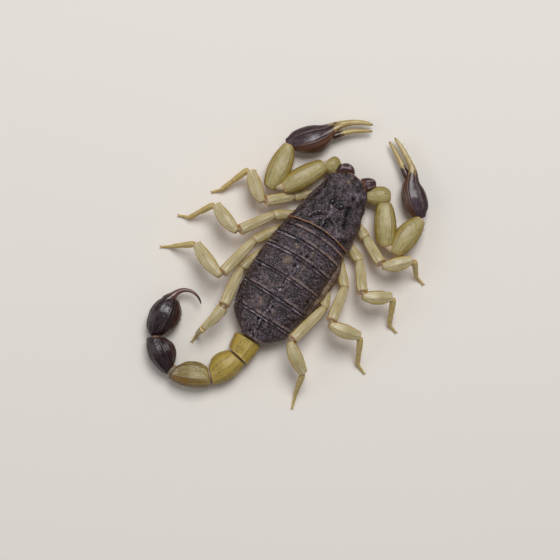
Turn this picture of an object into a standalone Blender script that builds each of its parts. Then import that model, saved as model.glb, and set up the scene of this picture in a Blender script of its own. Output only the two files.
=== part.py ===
"""A two-coloured desert scorpion, life size and still, resting flat on a floor at z = 0.

Head toward -Y, tail toward +Y, the animal's left side toward +X. Shapes are laid out in
millimetres around the eye tubercle; the parent empty then puts the middle of the finished
animal's footprint on the world origin. One object for each plate, limb segment and tail ring."""

import math

import bmesh
import bpy
from mathutils import Matrix, Vector

MM = 0.001
GAP = 0.3  # left between neighbouring solids
LIMB_SIDES = 8
PALP_SIDES = 10
TAIL_SIDES = 12
ARC_STEPS = 12  # facets across a back plate

# Head shield: half width, crown height and edge height at its front, middle and rear.
SHIELD_FRONT_Y = -4.9
SHIELD_REAR_Y = 7.6
SHIELD_HALF = (4.5, 6.45, 7.3)
SHIELD_CROWN = (4.9, 6.1, 6.7)
SHIELD_EDGE = (3.8, 3.8, 3.9)
SHIELD_LEAN = -0.4  # sideways bow of the shield's middle line
SHIELD_FRONT_BULGE = 1.7
SHIELD_REAR_NOTCH = 1.3
SHIELD_THICK = 1.0
TUBERCLE_RISE = 0.75
TUBERCLE_HALF = 1.5
EYE_OFFSET = 0.85
EYE_RADIUS = 0.45
# Jaws under the shield's front: (distance from the middle, y, z, width, height).
CHELICERA_FORM = ((2.4, -4.9, 2.4, 1.4, 1.4), (2.6, -5.5, 2.4, 2.2, 1.9), (2.8, -6.6, 2.4, 2.5, 2.1),
                  (2.8, -7.7, 2.3, 2.0, 1.8), (2.2, -8.5, 2.2, 0.9, 1.0))

# Trunk: the seven back plates, from the shield to the tail.
PLATE_ENDS = (7.9, 8.9, 11.0, 14.2, 18.7, 23.2, 28.1, 33.3)
PLATE_THICK = 0.8
PLATE_NOTCH = 1.1  # how far the middle of a front plate's edge lies ahead of its ends
TRUNK_LENGTH = PLATE_ENDS[-1] - PLATE_ENDS[0]
TRUNK_HALF = 7.75
TRUNK_REAR_HALF = 5.2  # what the sides taper to, before the last plate's own taper
TRUNK_CROWN = 7.5
TRUNK_EDGE = 4.2
TRUNK_LEAN = 0.7  # sideways bow of the trunk's middle line
LAST_PLATE_Y = 29.5  # from here the trunk narrows to the tail
LAST_PLATE_HALF = 2.5
LAST_PLATE_LIFT = 0.9

# Underside.
BELLY_BOTTOM = 1.1
BELLY_TOP = 2.45
FLANK_BOTTOM = 2.75
COXA_REAR_Y = 15.4
COXA_HALF = ((-4.6, 2.6), (-2.0, 3.9), (2.0, 5.1), (7.0, 6.0), (12.0, 6.5), (COXA_REAR_Y, 6.2))
BELLY_REAR_Y = 30.6
COMB_TEETH = 14
COMB_ROOT = (0.6, 12.4)  # distance from the middle line, and y
COMB_LENGTH = 6.2
COMB_DEPTH = 0.9  # of the shaft, then of its teeth
COMB_TOOTH = 0.7
COMB_SWEEP_DEGREES = 24
COMB_THICK = 0.5
COMB_BOTTOM = 0.3

# Limb sections: (fraction of the length, share of the full width).
FEMUR_FORM = ((0.0, 0.7), (0.12, 0.86), (0.45, 0.9), (0.85, 1.0), (0.96, 0.96), (1.0, 0.6))
PATELLA_FORM = ((0.0, 0.36), (0.12, 0.62), (0.38, 0.96), (0.65, 1.0), (0.9, 0.8), (1.0, 0.42))
ARM_FEMUR_FORM = ((0.0, 0.5), (0.1, 0.8), (0.4, 0.97), (0.7, 1.0), (0.9, 0.84), (1.0, 0.5))
LEG_WIDTHS = {"femur": 2.35, "patella": 2.85, "tibia": 1.25, "tarsus": 0.75}
TIP_WIDTH = 0.5
LEG_HEIGHT_SHARE = 1.1
PATELLA_BOW = 0.25
KNEE_CLEARANCE = 0.9  # keeps a bent joint's two ends apart, least where the leg runs straight
ANKLE_CLEARANCE = 0.75

# Leg joints: hip, trochanter end, knee, ankle, tarsus start and foot tip, by side and pair.
LEG_JOINTS = {
    "left_1": ((5.85, 0.9, 1.8), (8.7, 3.4, 2.7), (13.0, 7.5, 5.2),
               (18.9, 3.9, 4.4), (22.4, 10.4, 1.0), (24.1, 12.2, 0.25)),
    "left_2": ((7.1, 6.9, 1.8), (10.2, 9.1, 3.2), (14.3, 15.6, 6.6),
               (21.2, 13.9, 5.4), (25.0, 19.1, 1.0), (27.5, 20.1, 0.25)),
    "left_3": ((8.0, 11.4, 1.7), (10.8, 16.0, 3.2), (12.5, 25.1, 7.0),
               (20.2, 23.1, 5.6), (24.7, 26.2, 1.0), (27.0, 27.8, 0.25)),
    "left_4": ((8.0, 16.9, 1.6), (9.9, 22.4, 2.9), (8.6, 30.8, 7.0),
               (9.6, 36.9, 6.4), (10.2, 39.1, 1.2), (10.3, 41.4, 0.25)),
    "right_1": ((-6.1, 1.3, 1.8), (-9.2, 2.7, 2.8), (-14.6, 5.6, 5.6),
                (-19.5, 1.6, 5.6), (-22.6, 3.7, 1.2), (-25.0, 4.4, 0.25)),
    "right_2": ((-6.85, 5.7, 1.8), (-10.7, 7.6, 3.2), (-14.5, 12.9, 6.8),
                (-20.1, 10.4, 5.6), (-23.3, 15.5, 1.0), (-25.7, 16.2, 0.25)),
    "right_3": ((-7.5, 10.1, 1.7), (-11.0, 14.1, 3.2), (-12.2, 21.4, 7.0),
                (-18.8, 20.9, 5.8), (-22.1, 26.2, 1.0), (-24.7, 27.3, 0.25)),
    "right_4": ((-7.3, 15.0, 1.7), (-9.6, 20.1, 3.0), (-7.4, 29.1, 7.0),
                (-13.0, 33.7, 5.4), (-14.3, 38.6, 1.0), (-15.5, 42.0, 0.25)),
}

# Pincer arms: the two ends of each segment, and the line of each finger from knuckle to tip.
ARM_JOINTS = {
    "left": {"trochanter": ((4.3, -6.2, 3.0), (6.0, -6.7, 3.3)),
             "femur": ((6.7, -5.5, 3.6), (11.3, 3.0, 4.9)),
             "patella": ((13.95, 4.5, 4.8), (15.1, -4.5, 3.6)),
             "hand": ((15.3, -5.6, 3.4), (9.5, -12.4, 3.0)),
             "fixed": ((8.6, -14.6, 2.8), (6.5, -16.6, 2.5), (4.4, -17.9, 2.2), (2.5, -18.5, 2.0)),
             "movable": ((7.6, -12.8, 2.5), (6.2, -14.4, 2.4), (4.3, -15.9, 2.1), (1.9, -17.3, 1.8))},
    "right": {"trochanter": ((-5.0, -5.4, 3.0), (-7.8, -7.0, 3.3)),
              "femur": ((-8.5, -5.6, 3.6), (-13.5, 1.8, 4.6)),
              "patella": ((-16.0, 2.15, 4.6), (-16.7, -6.2, 3.6)),
              "hand": ((-16.1, -7.5, 3.4), (-10.3, -12.9, 3.0)),
              "fixed": ((-9.9, -14.8, 2.8), (-8.0, -16.1, 2.5), (-5.4, -17.6, 2.2), (-2.8, -18.7, 2.0)),
              "movable": ((-8.2, -13.9, 2.6), (-6.9, -14.8, 2.4), (-4.6, -16.2, 2.1), (-2.3, -17.4, 1.8))},
}
ARM_WIDTHS = {"trochanter": 2.7, "femur": 3.8, "patella": 3.9, "hand": 4.4, "finger": 1.0}

# Tail: the joints' centres from the trunk to the sting, then each ring's full width and
# height at its middle. Every joint plane halves the bend between its two rings.
TAIL_JOINTS = (
    (0.4, 31.0, 2.45), (0.4, 33.85, 2.45), (0.3, 38.5, 2.75), (3.0, 45.1, 2.75),
    (10.5, 48.8, 2.75), (17.4, 44.3, 2.75), (18.5, 35.2, 2.75),
)
TAIL_SIZES = ((4.6, 4.0), (6.1, 5.0), (6.2, 5.5), (5.6, 5.5), (6.0, 5.5), (6.4, 5.5))
TAIL_ENDS = ((0.8, 0.9), (0.76, 0.76), (0.7, 0.66), (0.74, 0.62), (0.62, 0.62), (0.3, 0.34))
TAIL_SWELL = ((0.12, 0.89), (0.38, 1.0), (0.68, 1.0), (0.9, 0.85))
VESICLE_SWELL = ((0.12, 0.64), (0.34, 0.96), (0.66, 1.0), (0.87, 0.74))
JOINT_REACH = 0.35  # share of a ring's length over which it turns into the joint plane
STING_ARC_CENTRE = (15.7, 35.2, 2.75)
STING_ARC_RADIUS = 3.1
STING_ARC_DEGREES = (-9.5, -145.0)
STING_WIDTHS = (1.3, 0.5)

PALE_HEX, DARK_HEX, BROWN_HEX = "9A8F4A", "2C2428", "3B1F1A"
AMBER_HEX, FLESH_HEX, EYE_HEX = "B29A55", "8C7459", "0D1012"


def linear(hex_colour):
    """The linear value of an sRGB colour."""
    shares = [int(hex_colour[i:i + 2], 16) / 255 for i in (0, 2, 4)]
    return [s / 12.92 if s <= 0.04045 else ((s + 0.055) / 1.055) ** 2.4 for s in shares]


def make_material(name, hex_colour, roughness):
    material = bpy.data.materials.new(name)
    material.use_nodes = True
    shader = material.node_tree.nodes["Principled BSDF"]
    shader.inputs["Base Color"].default_value = (*linear(hex_colour), 1)
    shader.inputs["Roughness"].default_value = roughness
    shader.inputs["Metallic"].default_value = 0
    return material


def make_object(name, work, material):
    """Turn a finished bmesh, in millimetres, into a named object under the animal's empty."""
    bmesh.ops.recalc_face_normals(work, faces=work.faces)
    bmesh.ops.scale(work, vec=(MM, MM, MM), verts=work.verts)
    mesh = bpy.data.meshes.new(name)
    work.to_mesh(mesh)
    work.free()
    mesh.materials.append(material)
    mesh.shade_smooth()
    mesh.set_sharp_from_angle(angle=math.radians(40))
    piece = bpy.data.objects.new(name, mesh)
    bpy.context.scene.collection.objects.link(piece)
    piece.parent = ANIMAL
    return piece


def oval_ring(centre, along, width, height, sides, squareness=2.3):
    """Points of a rounded square across a limb, with a flat facet underneath."""
    along = along.normalized()
    side = along.cross(Vector((0, 0, 1))).normalized()
    up = side.cross(along)
    shares = []
    for step in range(sides):
        angle = math.pi * (2 * step + 1) / sides
        s, u = math.sin(angle), math.cos(angle)
        fit = (abs(s) ** squareness + abs(u) ** squareness) ** (-1 / squareness)
        shares.append((s * fit, u * fit))
    low = shares[0][1]  # the flat facet then lies exactly half a height below the centre
    return [centre + side * s / low * width / 2 + up * u / low * height / 2 for s, u in shares]


def skin_rings(name, rings, material):
    """Extrude a capped polygon through rings that all have the same number of points."""
    work = bmesh.new()
    made = bmesh.ops.create_circle(work, cap_ends=True, segments=len(rings[0]), radius=1)
    for vert, place in zip(made["verts"], rings[0]):
        vert.co = place
    face = work.faces[:][0]
    first = {vert: index for index, vert in enumerate(made["verts"])}
    order = [first[vert] for vert in face.verts]
    for count, ring in enumerate(rings[1:]):
        grown = bmesh.ops.extrude_face_region(work, geom=[face])
        if count:
            bmesh.ops.delete(work, geom=[face], context="FACES_ONLY")
        face = [item for item in grown["geom"] if isinstance(item, bmesh.types.BMFace)][0]
        for index, vert in zip(order, face.verts):
            vert.co = ring[index]
    return make_object(name, work, material)


def tube(name, stations, material, sides=LIMB_SIDES, squareness=2.3, facings=None):
    """A limb segment through stations of (centre, width, height), square to its own line
    unless facings says which way each station faces."""
    centres = [Vector(station[0]) for station in stations]
    rings = []
    for index, (_, width, height) in enumerate(stations):
        ahead = centres[min(index + 1, len(centres) - 1)]
        behind = centres[max(index - 1, 0)]
        facing = facings[index] if facings else ahead - behind
        rings.append(oval_ring(centres[index], facing, width, height, sides, squareness))
    return skin_rings(name, rings, material)


def stations_between(start, end, form, width, height, bow=0.0):
    """Stations along a straight segment; bow pushes its middle to one side."""
    start, end = Vector(start), Vector(end)
    side = (end - start).cross(Vector((0, 0, 1))).normalized()
    stations = []
    for share, size in form:
        centre = start.lerp(end, share) + side * bow * math.sin(math.pi * share)
        stations.append((centre, width * size, height * size))
    return stations


def between(values, share):
    """Read a (front, middle, rear) triple part-way along."""
    front, middle, rear = values
    if share < 0.5:
        return front + (middle - front) * share * 2
    return middle + (rear - middle) * (share * 2 - 1)


def arch(across, crown, edge):
    """Height of a back plate at a share of its half width."""
    return edge + (crown - edge) * max(0.0, 1 - abs(across) ** 2.3) ** 0.62


def trunk_share(y):
    return (y - PLATE_ENDS[0]) / TRUNK_LENGTH


def tail_share(y):
    """How far y lies along the stretch where the trunk narrows to the tail."""
    return max(0.0, (y - LAST_PLATE_Y) / (PLATE_ENDS[-1] - LAST_PLATE_Y))


def trunk_half(y):
    share = trunk_share(y)
    full = TRUNK_HALF - 0.45 * (1 - min(share / 0.4, 1.0)) ** 2
    if share > 0.5:
        full -= (TRUNK_HALF - TRUNK_REAR_HALF) * ((share - 0.5) / 0.5) ** 2.2
    return full - (TRUNK_REAR_HALF - LAST_PLATE_HALF) * tail_share(y) ** 1.6


def trunk_crown(y):
    front_fall = 0.8 * (1 - min(trunk_share(y) / 0.35, 1)) ** 2
    rear_fall = 1.6 * (max(0.0, trunk_share(y) - 0.55) / 0.45) ** 1.6
    return TRUNK_CROWN - front_fall - rear_fall


def trunk_edge(y):
    front_fall = 0.3 * (1 - min(trunk_share(y) / 0.35, 1))
    rear_fall = 0.6 * max(0.0, trunk_share(y) - 0.55) / 0.45
    return TRUNK_EDGE - front_fall - rear_fall + LAST_PLATE_LIFT * tail_share(y)


def middle_line(y):
    return TRUNK_LEAN * math.sin(math.pi * min(max(trunk_share(y), 0.0), 1.0))


def plate(name, place, rows, thickness, material):
    """An arched plate: a grid laid by place(across, along), thickened downward."""
    work = bmesh.new()
    bmesh.ops.create_grid(work, x_segments=ARC_STEPS, y_segments=rows, size=1)
    for vert in work.verts:
        across = math.sin(vert.co.x * math.pi / 2 * 0.985) / math.sin(math.pi / 2 * 0.985)
        vert.co = place(across, (vert.co.y + 1) / 2)
    piece = make_object(name, work, material)
    if piece.data.polygons[len(piece.data.polygons) // 2].normal.z < 0:
        piece.data.flip_normals()
    solid = piece.modifiers.new("Thickness", "SOLIDIFY")
    solid.thickness = thickness * MM
    solid.offset = -1
    return piece


def shield_place(across, along):
    half = between(SHIELD_HALF, along)
    crown = between(SHIELD_CROWN, along)
    edge = between(SHIELD_EDGE, along)
    x = across * half
    lean = SHIELD_LEAN * math.sin(math.pi * along)
    flat = 1 - across * across
    y = SHIELD_FRONT_Y + (SHIELD_REAR_Y - SHIELD_FRONT_Y) * along
    y -= SHIELD_FRONT_BULGE * flat * (1 - along) + SHIELD_REAR_NOTCH * flat * along
    bump = TUBERCLE_RISE * math.exp(-(x * x + y * y) / TUBERCLE_HALF ** 2)
    return Vector((x + lean, y, arch(across, crown, edge) + bump))


def back_plate_place(index):
    """The laying rule of one back plate, between the trunk's plate lines."""
    front, rear = PLATE_ENDS[index] + GAP / 2, PLATE_ENDS[index + 1] - GAP / 2

    def place(across, along):
        y = front + (rear - front) * along
        notch = PLATE_NOTCH * max(0.0, 1 - trunk_share(y) * 1.3)
        half = trunk_half(y)
        x = middle_line(y) + across * half
        z = arch(across, trunk_crown(y), trunk_edge(y)) + 0.12 * along
        return Vector((x, y - notch * (1 - across * across), z))

    return place


def body_ring(x_middle, y, half, crown, edge, bottom, cover, bulge):
    """A trunk section: an arched top below the plates, swelling flanks and a flat floor."""
    inner = half - cover - 0.65
    side = [(inner * s, arch(s, crown - cover - 0.1, edge - 0.3)) for s in (0.0, 0.35, 0.65, 0.88, 1.0)]
    side += [(half + bulge, edge - 0.8), (half + bulge - 0.2, edge - 1.1), (half - 1.5, bottom)]
    right = [Vector((x_middle + x, y, z)) for x, z in side]
    left = [Vector((x_middle - x, y, z)) for x, z in reversed(side[1:])]
    return right + left


def make_trunk():
    cover = SHIELD_THICK + GAP
    rings = []
    for share in (0.08, 0.3, 0.55, 0.8, 0.93):
        y = SHIELD_FRONT_Y + (SHIELD_REAR_Y - SHIELD_FRONT_Y) * share - 0.4
        half = between(SHIELD_HALF, share)
        rings.append(body_ring(0, y, half, between(SHIELD_CROWN, share),
                               between(SHIELD_EDGE, share), FLANK_BOTTOM, cover, -0.9))
    skin_rings("prosoma", rings, FLESH)
    rings = []
    cover = PLATE_THICK + GAP
    for y in (7.4, 9.5, 13.0, 17.0, 21.0, 25.0, 28.0, 30.3):
        rings.append(body_ring(middle_line(y), y, trunk_half(y + 0.6), trunk_crown(y),
                               trunk_edge(y), FLANK_BOTTOM, cover, 0.1))
    skin_rings("flanks", rings, FLESH)


def slab(name, sections, material):
    """A flat underside piece from (y, middle, half width) sections."""
    rings = []
    for y, middle, half in sections:
        rim = [(half - 0.7, BELLY_TOP), (half, BELLY_TOP - 0.5), (half, BELLY_BOTTOM + 0.6),
               (half - 0.9, BELLY_BOTTOM)]
        right = [Vector((middle + x, y, z)) for x, z in rim]
        left = [Vector((middle - x, y, z)) for x, z in reversed(rim)]
        rings.append(right + left)
    skin_rings(name, rings, material)


def make_underside():
    slab("coxae", [(y, middle_line(y), half) for y, half in COXA_HALF], PALE)
    sections = []
    for y in (COXA_REAR_Y + GAP, 19.0, 23.0, 27.0, BELLY_REAR_Y):
        sections.append((y, middle_line(y), min(trunk_half(y) - 0.9, 5.6 + (y - COXA_REAR_Y) * 0.3)))
    slab("belly", sections, FLESH)


def make_comb(name, side):
    """One pecten: a shaft with a row of teeth along its outer rear edge."""
    outline = [Vector((0, 0, 0)), Vector((COMB_LENGTH, 0, 0)), Vector((COMB_LENGTH, COMB_DEPTH, 0))]
    pitch = COMB_LENGTH / COMB_TEETH
    for index in range(COMB_TEETH):
        x = COMB_LENGTH - index * pitch
        outline += [Vector((x - 0.15 * pitch, COMB_DEPTH + COMB_TOOTH, 0)),
                    Vector((x - 0.6 * pitch, COMB_DEPTH + COMB_TOOTH, 0)),
                    Vector((x - pitch, COMB_DEPTH, 0))]
    work = bmesh.new()
    flat = work.faces.new([work.verts.new(point) for point in outline])
    grown = bmesh.ops.extrude_face_region(work, geom=[flat])
    for item in grown["geom"]:
        if isinstance(item, bmesh.types.BMVert):
            item.co.z += COMB_THICK
    sweep = Matrix.Rotation(math.radians(COMB_SWEEP_DEGREES), 3, "Z")
    root_x, root_y = COMB_ROOT
    for vert in work.verts:
        x, y, z = sweep @ vert.co
        vert.co = Vector((middle_line(root_y) + side * (root_x + x), root_y + y, COMB_BOTTOM + z))
    make_object(name, work, PALE)


def make_head():
    plate("carapace", shield_place, 8, SHIELD_THICK, DARK)
    for name, side in (("eye_left", 1), ("eye_right", -1)):
        work = bmesh.new()
        bmesh.ops.create_uvsphere(work, u_segments=10, v_segments=6, radius=EYE_RADIUS)
        lift = between(SHIELD_CROWN, 0.4) + TUBERCLE_RISE + EYE_RADIUS + 0.2
        bmesh.ops.translate(work, vec=(side * EYE_OFFSET, 0.1, lift), verts=work.verts)
        make_object(name, work, EYE)
    for name, side in (("chelicera_left", 1), ("chelicera_right", -1)):
        stations = [(Vector((side * offset + SHIELD_LEAN, y, z)), width, height)
                    for offset, y, z, width, height in CHELICERA_FORM]
        tube(name, stations, BROWN)


def make_arm(side, joints):
    widths = ARM_WIDTHS
    outer = 1 if side == "left" else -1
    trochanter = ((0.0, 0.6), (0.35, 1.0), (0.75, 1.0), (1.0, 0.6))
    tube(f"arm_{side}_trochanter",
         stations_between(*joints["trochanter"], trochanter, widths["trochanter"], 2.5), PALE,
         PALP_SIDES)
    for piece, form, bow in (("femur", ARM_FEMUR_FORM, 0.0), ("patella", PATELLA_FORM, 0.25)):
        width = widths[piece]
        stations = stations_between(*joints[piece], form, width, width * 0.85, outer * bow)
        tube(f"arm_{side}_{piece}", stations, PALE, PALP_SIDES)
    hand = ((0.0, 0.34), (0.1, 0.66), (0.35, 1.0), (0.65, 0.96), (0.88, 0.66))
    stations = stations_between(*joints["hand"], hand, widths["hand"], widths["hand"] * 0.86)
    fingers = {}
    for piece, root_width in (("fixed", 1.45), ("movable", 1.1)):
        steps = zip(joints[piece], (root_width, 1.1, widths["finger"], TIP_WIDTH))
        fingers[piece] = [(Vector(point), size, size * 1.1) for point, size in steps]
    tube(f"arm_{side}_hand", stations + fingers["fixed"], BROWN, PALP_SIDES)
    tube(f"arm_{side}_movable_finger", fingers["movable"], AMBER)


def make_leg(name, joints):
    hip, trochanter, knee, ankle, heel, toe = (Vector(joint) for joint in joints)
    side = 1 if name.startswith("left") else -1
    width = LEG_WIDTHS["femur"]
    stations = [(hip, 1.3, 1.2), (hip.lerp(trochanter, 0.5), 1.8, 1.6),
                (trochanter, width * 0.82, width * 0.8)]
    for share, size in FEMUR_FORM[2:]:
        stations.append((trochanter.lerp(knee, share), width * size, width * size * LEG_HEIGHT_SHARE))
    tube(f"leg_{name}_femur", stations, PALE)
    width = LEG_WIDTHS["patella"]
    up, along, down = ((b - a).normalized() for a, b in ((trochanter, knee), (knee, ankle), (ankle, heel)))
    start = knee + along * GAP + up * KNEE_CLEARANCE * (1 - 0.6 * max(0.0, up.dot(along)))
    tube(f"leg_{name}_patella",
         stations_between(start, ankle, PATELLA_FORM, width, width * 0.9, -side * PATELLA_BOW), PALE)
    width, thin = LEG_WIDTHS["tibia"], LEG_WIDTHS["tarsus"]
    start = ankle + down * ANKLE_CLEARANCE + along * ANKLE_CLEARANCE * (1 - along.dot(down))
    flat = Vector((toe.x, toe.y, TIP_WIDTH / 2))
    stations = [(start, width * 0.7, width * 0.7), (start.lerp(heel, 0.15), width, width),
                (start.lerp(heel, 0.85), width * 0.85, width * 0.85),
                (heel, thin, thin),
                (Vector((heel.x, heel.y, 0)).lerp(flat, 0.5) + Vector((0, 0, TIP_WIDTH / 4)),
                 TIP_WIDTH * 1.1, TIP_WIDTH), (flat, TIP_WIDTH, TIP_WIDTH)]
    tube(f"leg_{name}_tarsus", stations, PALE)


def make_tail():
    joints = [Vector(joint) for joint in TAIL_JOINTS]
    axes = [(after - before).normalized() for before, after in zip(joints, joints[1:])]
    planes = [axes[0]] + [(a + b).normalized() for a, b in zip(axes, axes[1:])] + [axes[-1]]
    names = [f"tail_{number}" for number in range(1, 6)] + ["telson_vesicle"]
    shells = (PALE, PALE, PALE, AMBER, BROWN, BROWN)
    for index, name in enumerate(names):
        axis, (width, height), (first, last) = axes[index], TAIL_SIZES[index], TAIL_ENDS[index]
        swell = VESICLE_SWELL if name == "telson_vesicle" else TAIL_SWELL
        form = ((0.0, first), *swell, (1.0, last))
        start = joints[index] + axis * GAP * 0.55
        end = joints[index + 1] - axis * GAP * 0.55
        facings = [axis.lerp(planes[index], max(0.0, 1 - share / JOINT_REACH)).lerp(
            planes[index + 1], max(0.0, 1 - (1 - share) / JOINT_REACH)) for share, _ in form]
        tube(name, stations_between(start, end, form, width, height), shells[index],
             TAIL_SIDES, 2.6, facings)
    centre = Vector(STING_ARC_CENTRE)
    first, last = (math.radians(angle) for angle in STING_ARC_DEGREES)
    wide, fine = STING_WIDTHS
    stations = []
    for step in range(8):
        share = step / 7
        angle = first + (last - first) * share
        radius = STING_ARC_RADIUS * (1 + 0.1 * share)
        place = centre + Vector((math.cos(angle), math.sin(angle), 0)) * radius
        size = wide + (fine - wide) * share ** 0.6
        stations.append((place, size, size))
    tube("telson_sting", stations, BROWN)


def centre_on_floor():
    """Put the middle of the animal's footprint on the world origin and its lowest face at 0."""
    bpy.context.view_layer.update()
    graph = bpy.context.evaluated_depsgraph_get()
    corners = [piece.matrix_world @ Vector(corner) for piece in ANIMAL.children
               for corner in piece.evaluated_get(graph).bound_box]
    low = [min(corner[axis] for corner in corners) for axis in range(3)]
    high = [max(corner[axis] for corner in corners) for axis in range(3)]
    ANIMAL.location = (-(low[0] + high[0]) / 2, -(low[1] + high[1]) / 2, -low[2])


for leftover in list(bpy.data.objects):
    bpy.data.objects.remove(leftover, do_unlink=True)
ANIMAL = bpy.data.objects.new("scorpion", None)
bpy.context.scene.collection.objects.link(ANIMAL)
PALE = make_material("pale shell", PALE_HEX, 0.4)
DARK = make_material("dark back shell", DARK_HEX, 0.5)
BROWN = make_material("dark brown shell", BROWN_HEX, 0.3)
AMBER = make_material("amber shell", AMBER_HEX, 0.35)
FLESH = make_material("soft joint skin", FLESH_HEX, 0.6)
EYE = make_material("eye lens", EYE_HEX, 0.1)

make_head()
for number in range(len(PLATE_ENDS) - 1):
    plate(f"back_plate_{number + 1}", back_plate_place(number), 3 if number > 1 else 2,
          PLATE_THICK, DARK)
make_trunk()
make_underside()
make_comb("comb_left", 1)
make_comb("comb_right", -1)
for arm_side, arm_joints in ARM_JOINTS.items():
    make_arm(arm_side, arm_joints)
for leg_name, leg_joints in LEG_JOINTS.items():
    make_leg(leg_name, leg_joints)
make_tail()
centre_on_floor()
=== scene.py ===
"""Looks of the desert scorpion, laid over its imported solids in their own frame.

Each shell plate, limb segment and tail ring is modelled anew along the solid that it
replaces, with its keels, granules and rims. One soft skin stands for the flesh between."""

import math
import random

import bmesh
import bpy
import numpy as np
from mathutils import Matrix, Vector, noise


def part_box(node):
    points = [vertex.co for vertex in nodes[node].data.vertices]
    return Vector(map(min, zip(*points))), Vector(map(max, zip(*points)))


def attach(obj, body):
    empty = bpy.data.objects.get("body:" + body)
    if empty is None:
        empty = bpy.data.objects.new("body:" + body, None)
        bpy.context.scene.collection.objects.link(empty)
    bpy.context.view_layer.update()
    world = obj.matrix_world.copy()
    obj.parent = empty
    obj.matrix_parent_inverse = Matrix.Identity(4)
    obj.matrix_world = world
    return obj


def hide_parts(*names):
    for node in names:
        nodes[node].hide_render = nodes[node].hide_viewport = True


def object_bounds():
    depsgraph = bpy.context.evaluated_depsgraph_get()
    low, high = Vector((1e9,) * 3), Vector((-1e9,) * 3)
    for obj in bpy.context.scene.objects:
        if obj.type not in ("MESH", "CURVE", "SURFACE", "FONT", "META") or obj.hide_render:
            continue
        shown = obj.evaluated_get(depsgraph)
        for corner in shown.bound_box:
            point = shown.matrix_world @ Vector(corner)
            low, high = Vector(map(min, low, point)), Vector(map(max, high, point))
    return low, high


MM = 0.001
SIDES = (("left", 1), ("right", -1))

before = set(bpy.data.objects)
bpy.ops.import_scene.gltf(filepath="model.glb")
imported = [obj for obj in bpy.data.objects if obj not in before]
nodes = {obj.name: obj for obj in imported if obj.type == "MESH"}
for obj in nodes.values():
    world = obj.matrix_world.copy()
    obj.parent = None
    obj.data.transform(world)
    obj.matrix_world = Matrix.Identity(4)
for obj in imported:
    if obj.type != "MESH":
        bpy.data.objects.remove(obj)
cad_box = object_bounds()


# Where things are. The animal lies with its head toward -Y and its left side toward +X, and
# its shapes are laid out in mm around the eye tubercle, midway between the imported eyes.
def middle_of(name):
    low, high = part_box(name)
    return (low + high) / 2


EYE_LINE_Y = 0.1
TUBERCLE = (middle_of("eye_left") + middle_of("eye_right")) / 2 / MM
ORIGIN = Vector((TUBERCLE.x, TUBERCLE.y - EYE_LINE_Y, 0))


def point(x, y, z):
    """A point in mm, given in mm around the eye tubercle."""
    return ORIGIN + Vector((x, y, z))


# Camera: a long lens looking straight down, turned so that the animal heads up and to the
# right, with room round it as a field guide's plate has.
CAMERA_HEIGHT = 420.0
CAMERA_OVER = (1.5, 19.94)
CAMERA_TURN = -147.5
FIELD_WIDTH = 118.7  # mm across the picture at the height of the limbs
LIMB_HEIGHT = 3.5
SENSOR_WIDTH = 36
bpy.ops.object.camera_add(
    location=point(*CAMERA_OVER, CAMERA_HEIGHT) * MM, rotation=(0, 0, math.radians(CAMERA_TURN))
)
camera = bpy.context.object
camera.data.sensor_width = SENSOR_WIDTH
camera.data.lens = SENSOR_WIDTH / FIELD_WIDTH * (CAMERA_HEIGHT - LIMB_HEIGHT)
camera.data.clip_start = 0.01
bpy.context.scene.camera = camera


# Floor and light: a pale matt paper sweep under a wide soft box, with a weaker one from the
# side for a gentle shadow, and an even grey room.
def linear(hex_colour):
    """The linear value of an sRGB colour."""
    shares = [int(hex_colour[i : i + 2], 16) / 255 for i in (0, 2, 4)]
    made = [s / 12.92 if s <= 0.04045 else ((s + 0.055) / 1.055) ** 2.4 for s in shares]
    return (*made, 1)


def add(tree, kind, inputs=None, **settings):
    """Add a shader node. An input is a value, or another node's output to link."""
    made = tree.nodes.new(kind)
    for key, value in settings.items():
        setattr(made, key, value)
    for socket, value in (inputs or {}).items():
        if isinstance(value, bpy.types.NodeSocket):
            tree.links.new(value, made.inputs[socket])
        else:
            made.inputs[socket].default_value = value
    return made


def blank_material(name):
    material = bpy.data.materials.new(name)
    material.use_nodes = True
    material.node_tree.nodes.clear()
    return material, material.node_tree


def per_mm(size):
    """The texture scale that makes one feature this many mm across."""
    return 1 / (size * MM)


def end_in_shader(tree, inputs):
    shader = add(tree, "ShaderNodeBsdfPrincipled", inputs)
    add(tree, "ShaderNodeOutputMaterial", {"Surface": shader.outputs["BSDF"]})


# The floor is matt card stock, with the faint tooth of paper. It lies under the feet, at z = 0,
# and catches the model's shadow.
FLOOR_SIZE = 3  # m
paper, tree = blank_material("matt card")
tooth = add(tree, "ShaderNodeTexNoise", {"Scale": per_mm(1.5), "Detail": 3})
bumps = {"Strength": 0.08, "Distance": 0.1 * MM, "Height": tooth.outputs["Fac"]}
rise = add(tree, "ShaderNodeBump", bumps)
end_in_shader(tree, {"Base Color": linear("F3EEE6"), "Roughness": 0.9, "Normal": rise.outputs["Normal"]})

bpy.ops.mesh.primitive_plane_add(size=FLOOR_SIZE)
floor = bpy.context.object
floor.name = "floor"
floor.data.materials.append(paper)

for name, place, size, watts in (
    ("overhead_box", (0.1, -0.37, 0.7), 0.4, 4.3),
    ("side_box", (0.5, 0.3, 0.45), 0.5, 0.8),
):
    bpy.ops.object.light_add(type="AREA", location=place)
    lamp = bpy.context.object
    lamp.name = name
    lamp.data.size = size
    lamp.data.energy = watts
    lamp.rotation_euler = (-Vector(place)).to_track_quat("-Z", "Y").to_euler()
world = bpy.data.worlds.new("room")
world.use_nodes = True
world.node_tree.nodes["Background"].inputs["Color"].default_value = linear("F3F2F4")
world.node_tree.nodes["Background"].inputs["Strength"].default_value = 0.2
bpy.context.scene.world = world
bpy.context.scene.view_settings.view_transform = "Standard"


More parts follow.
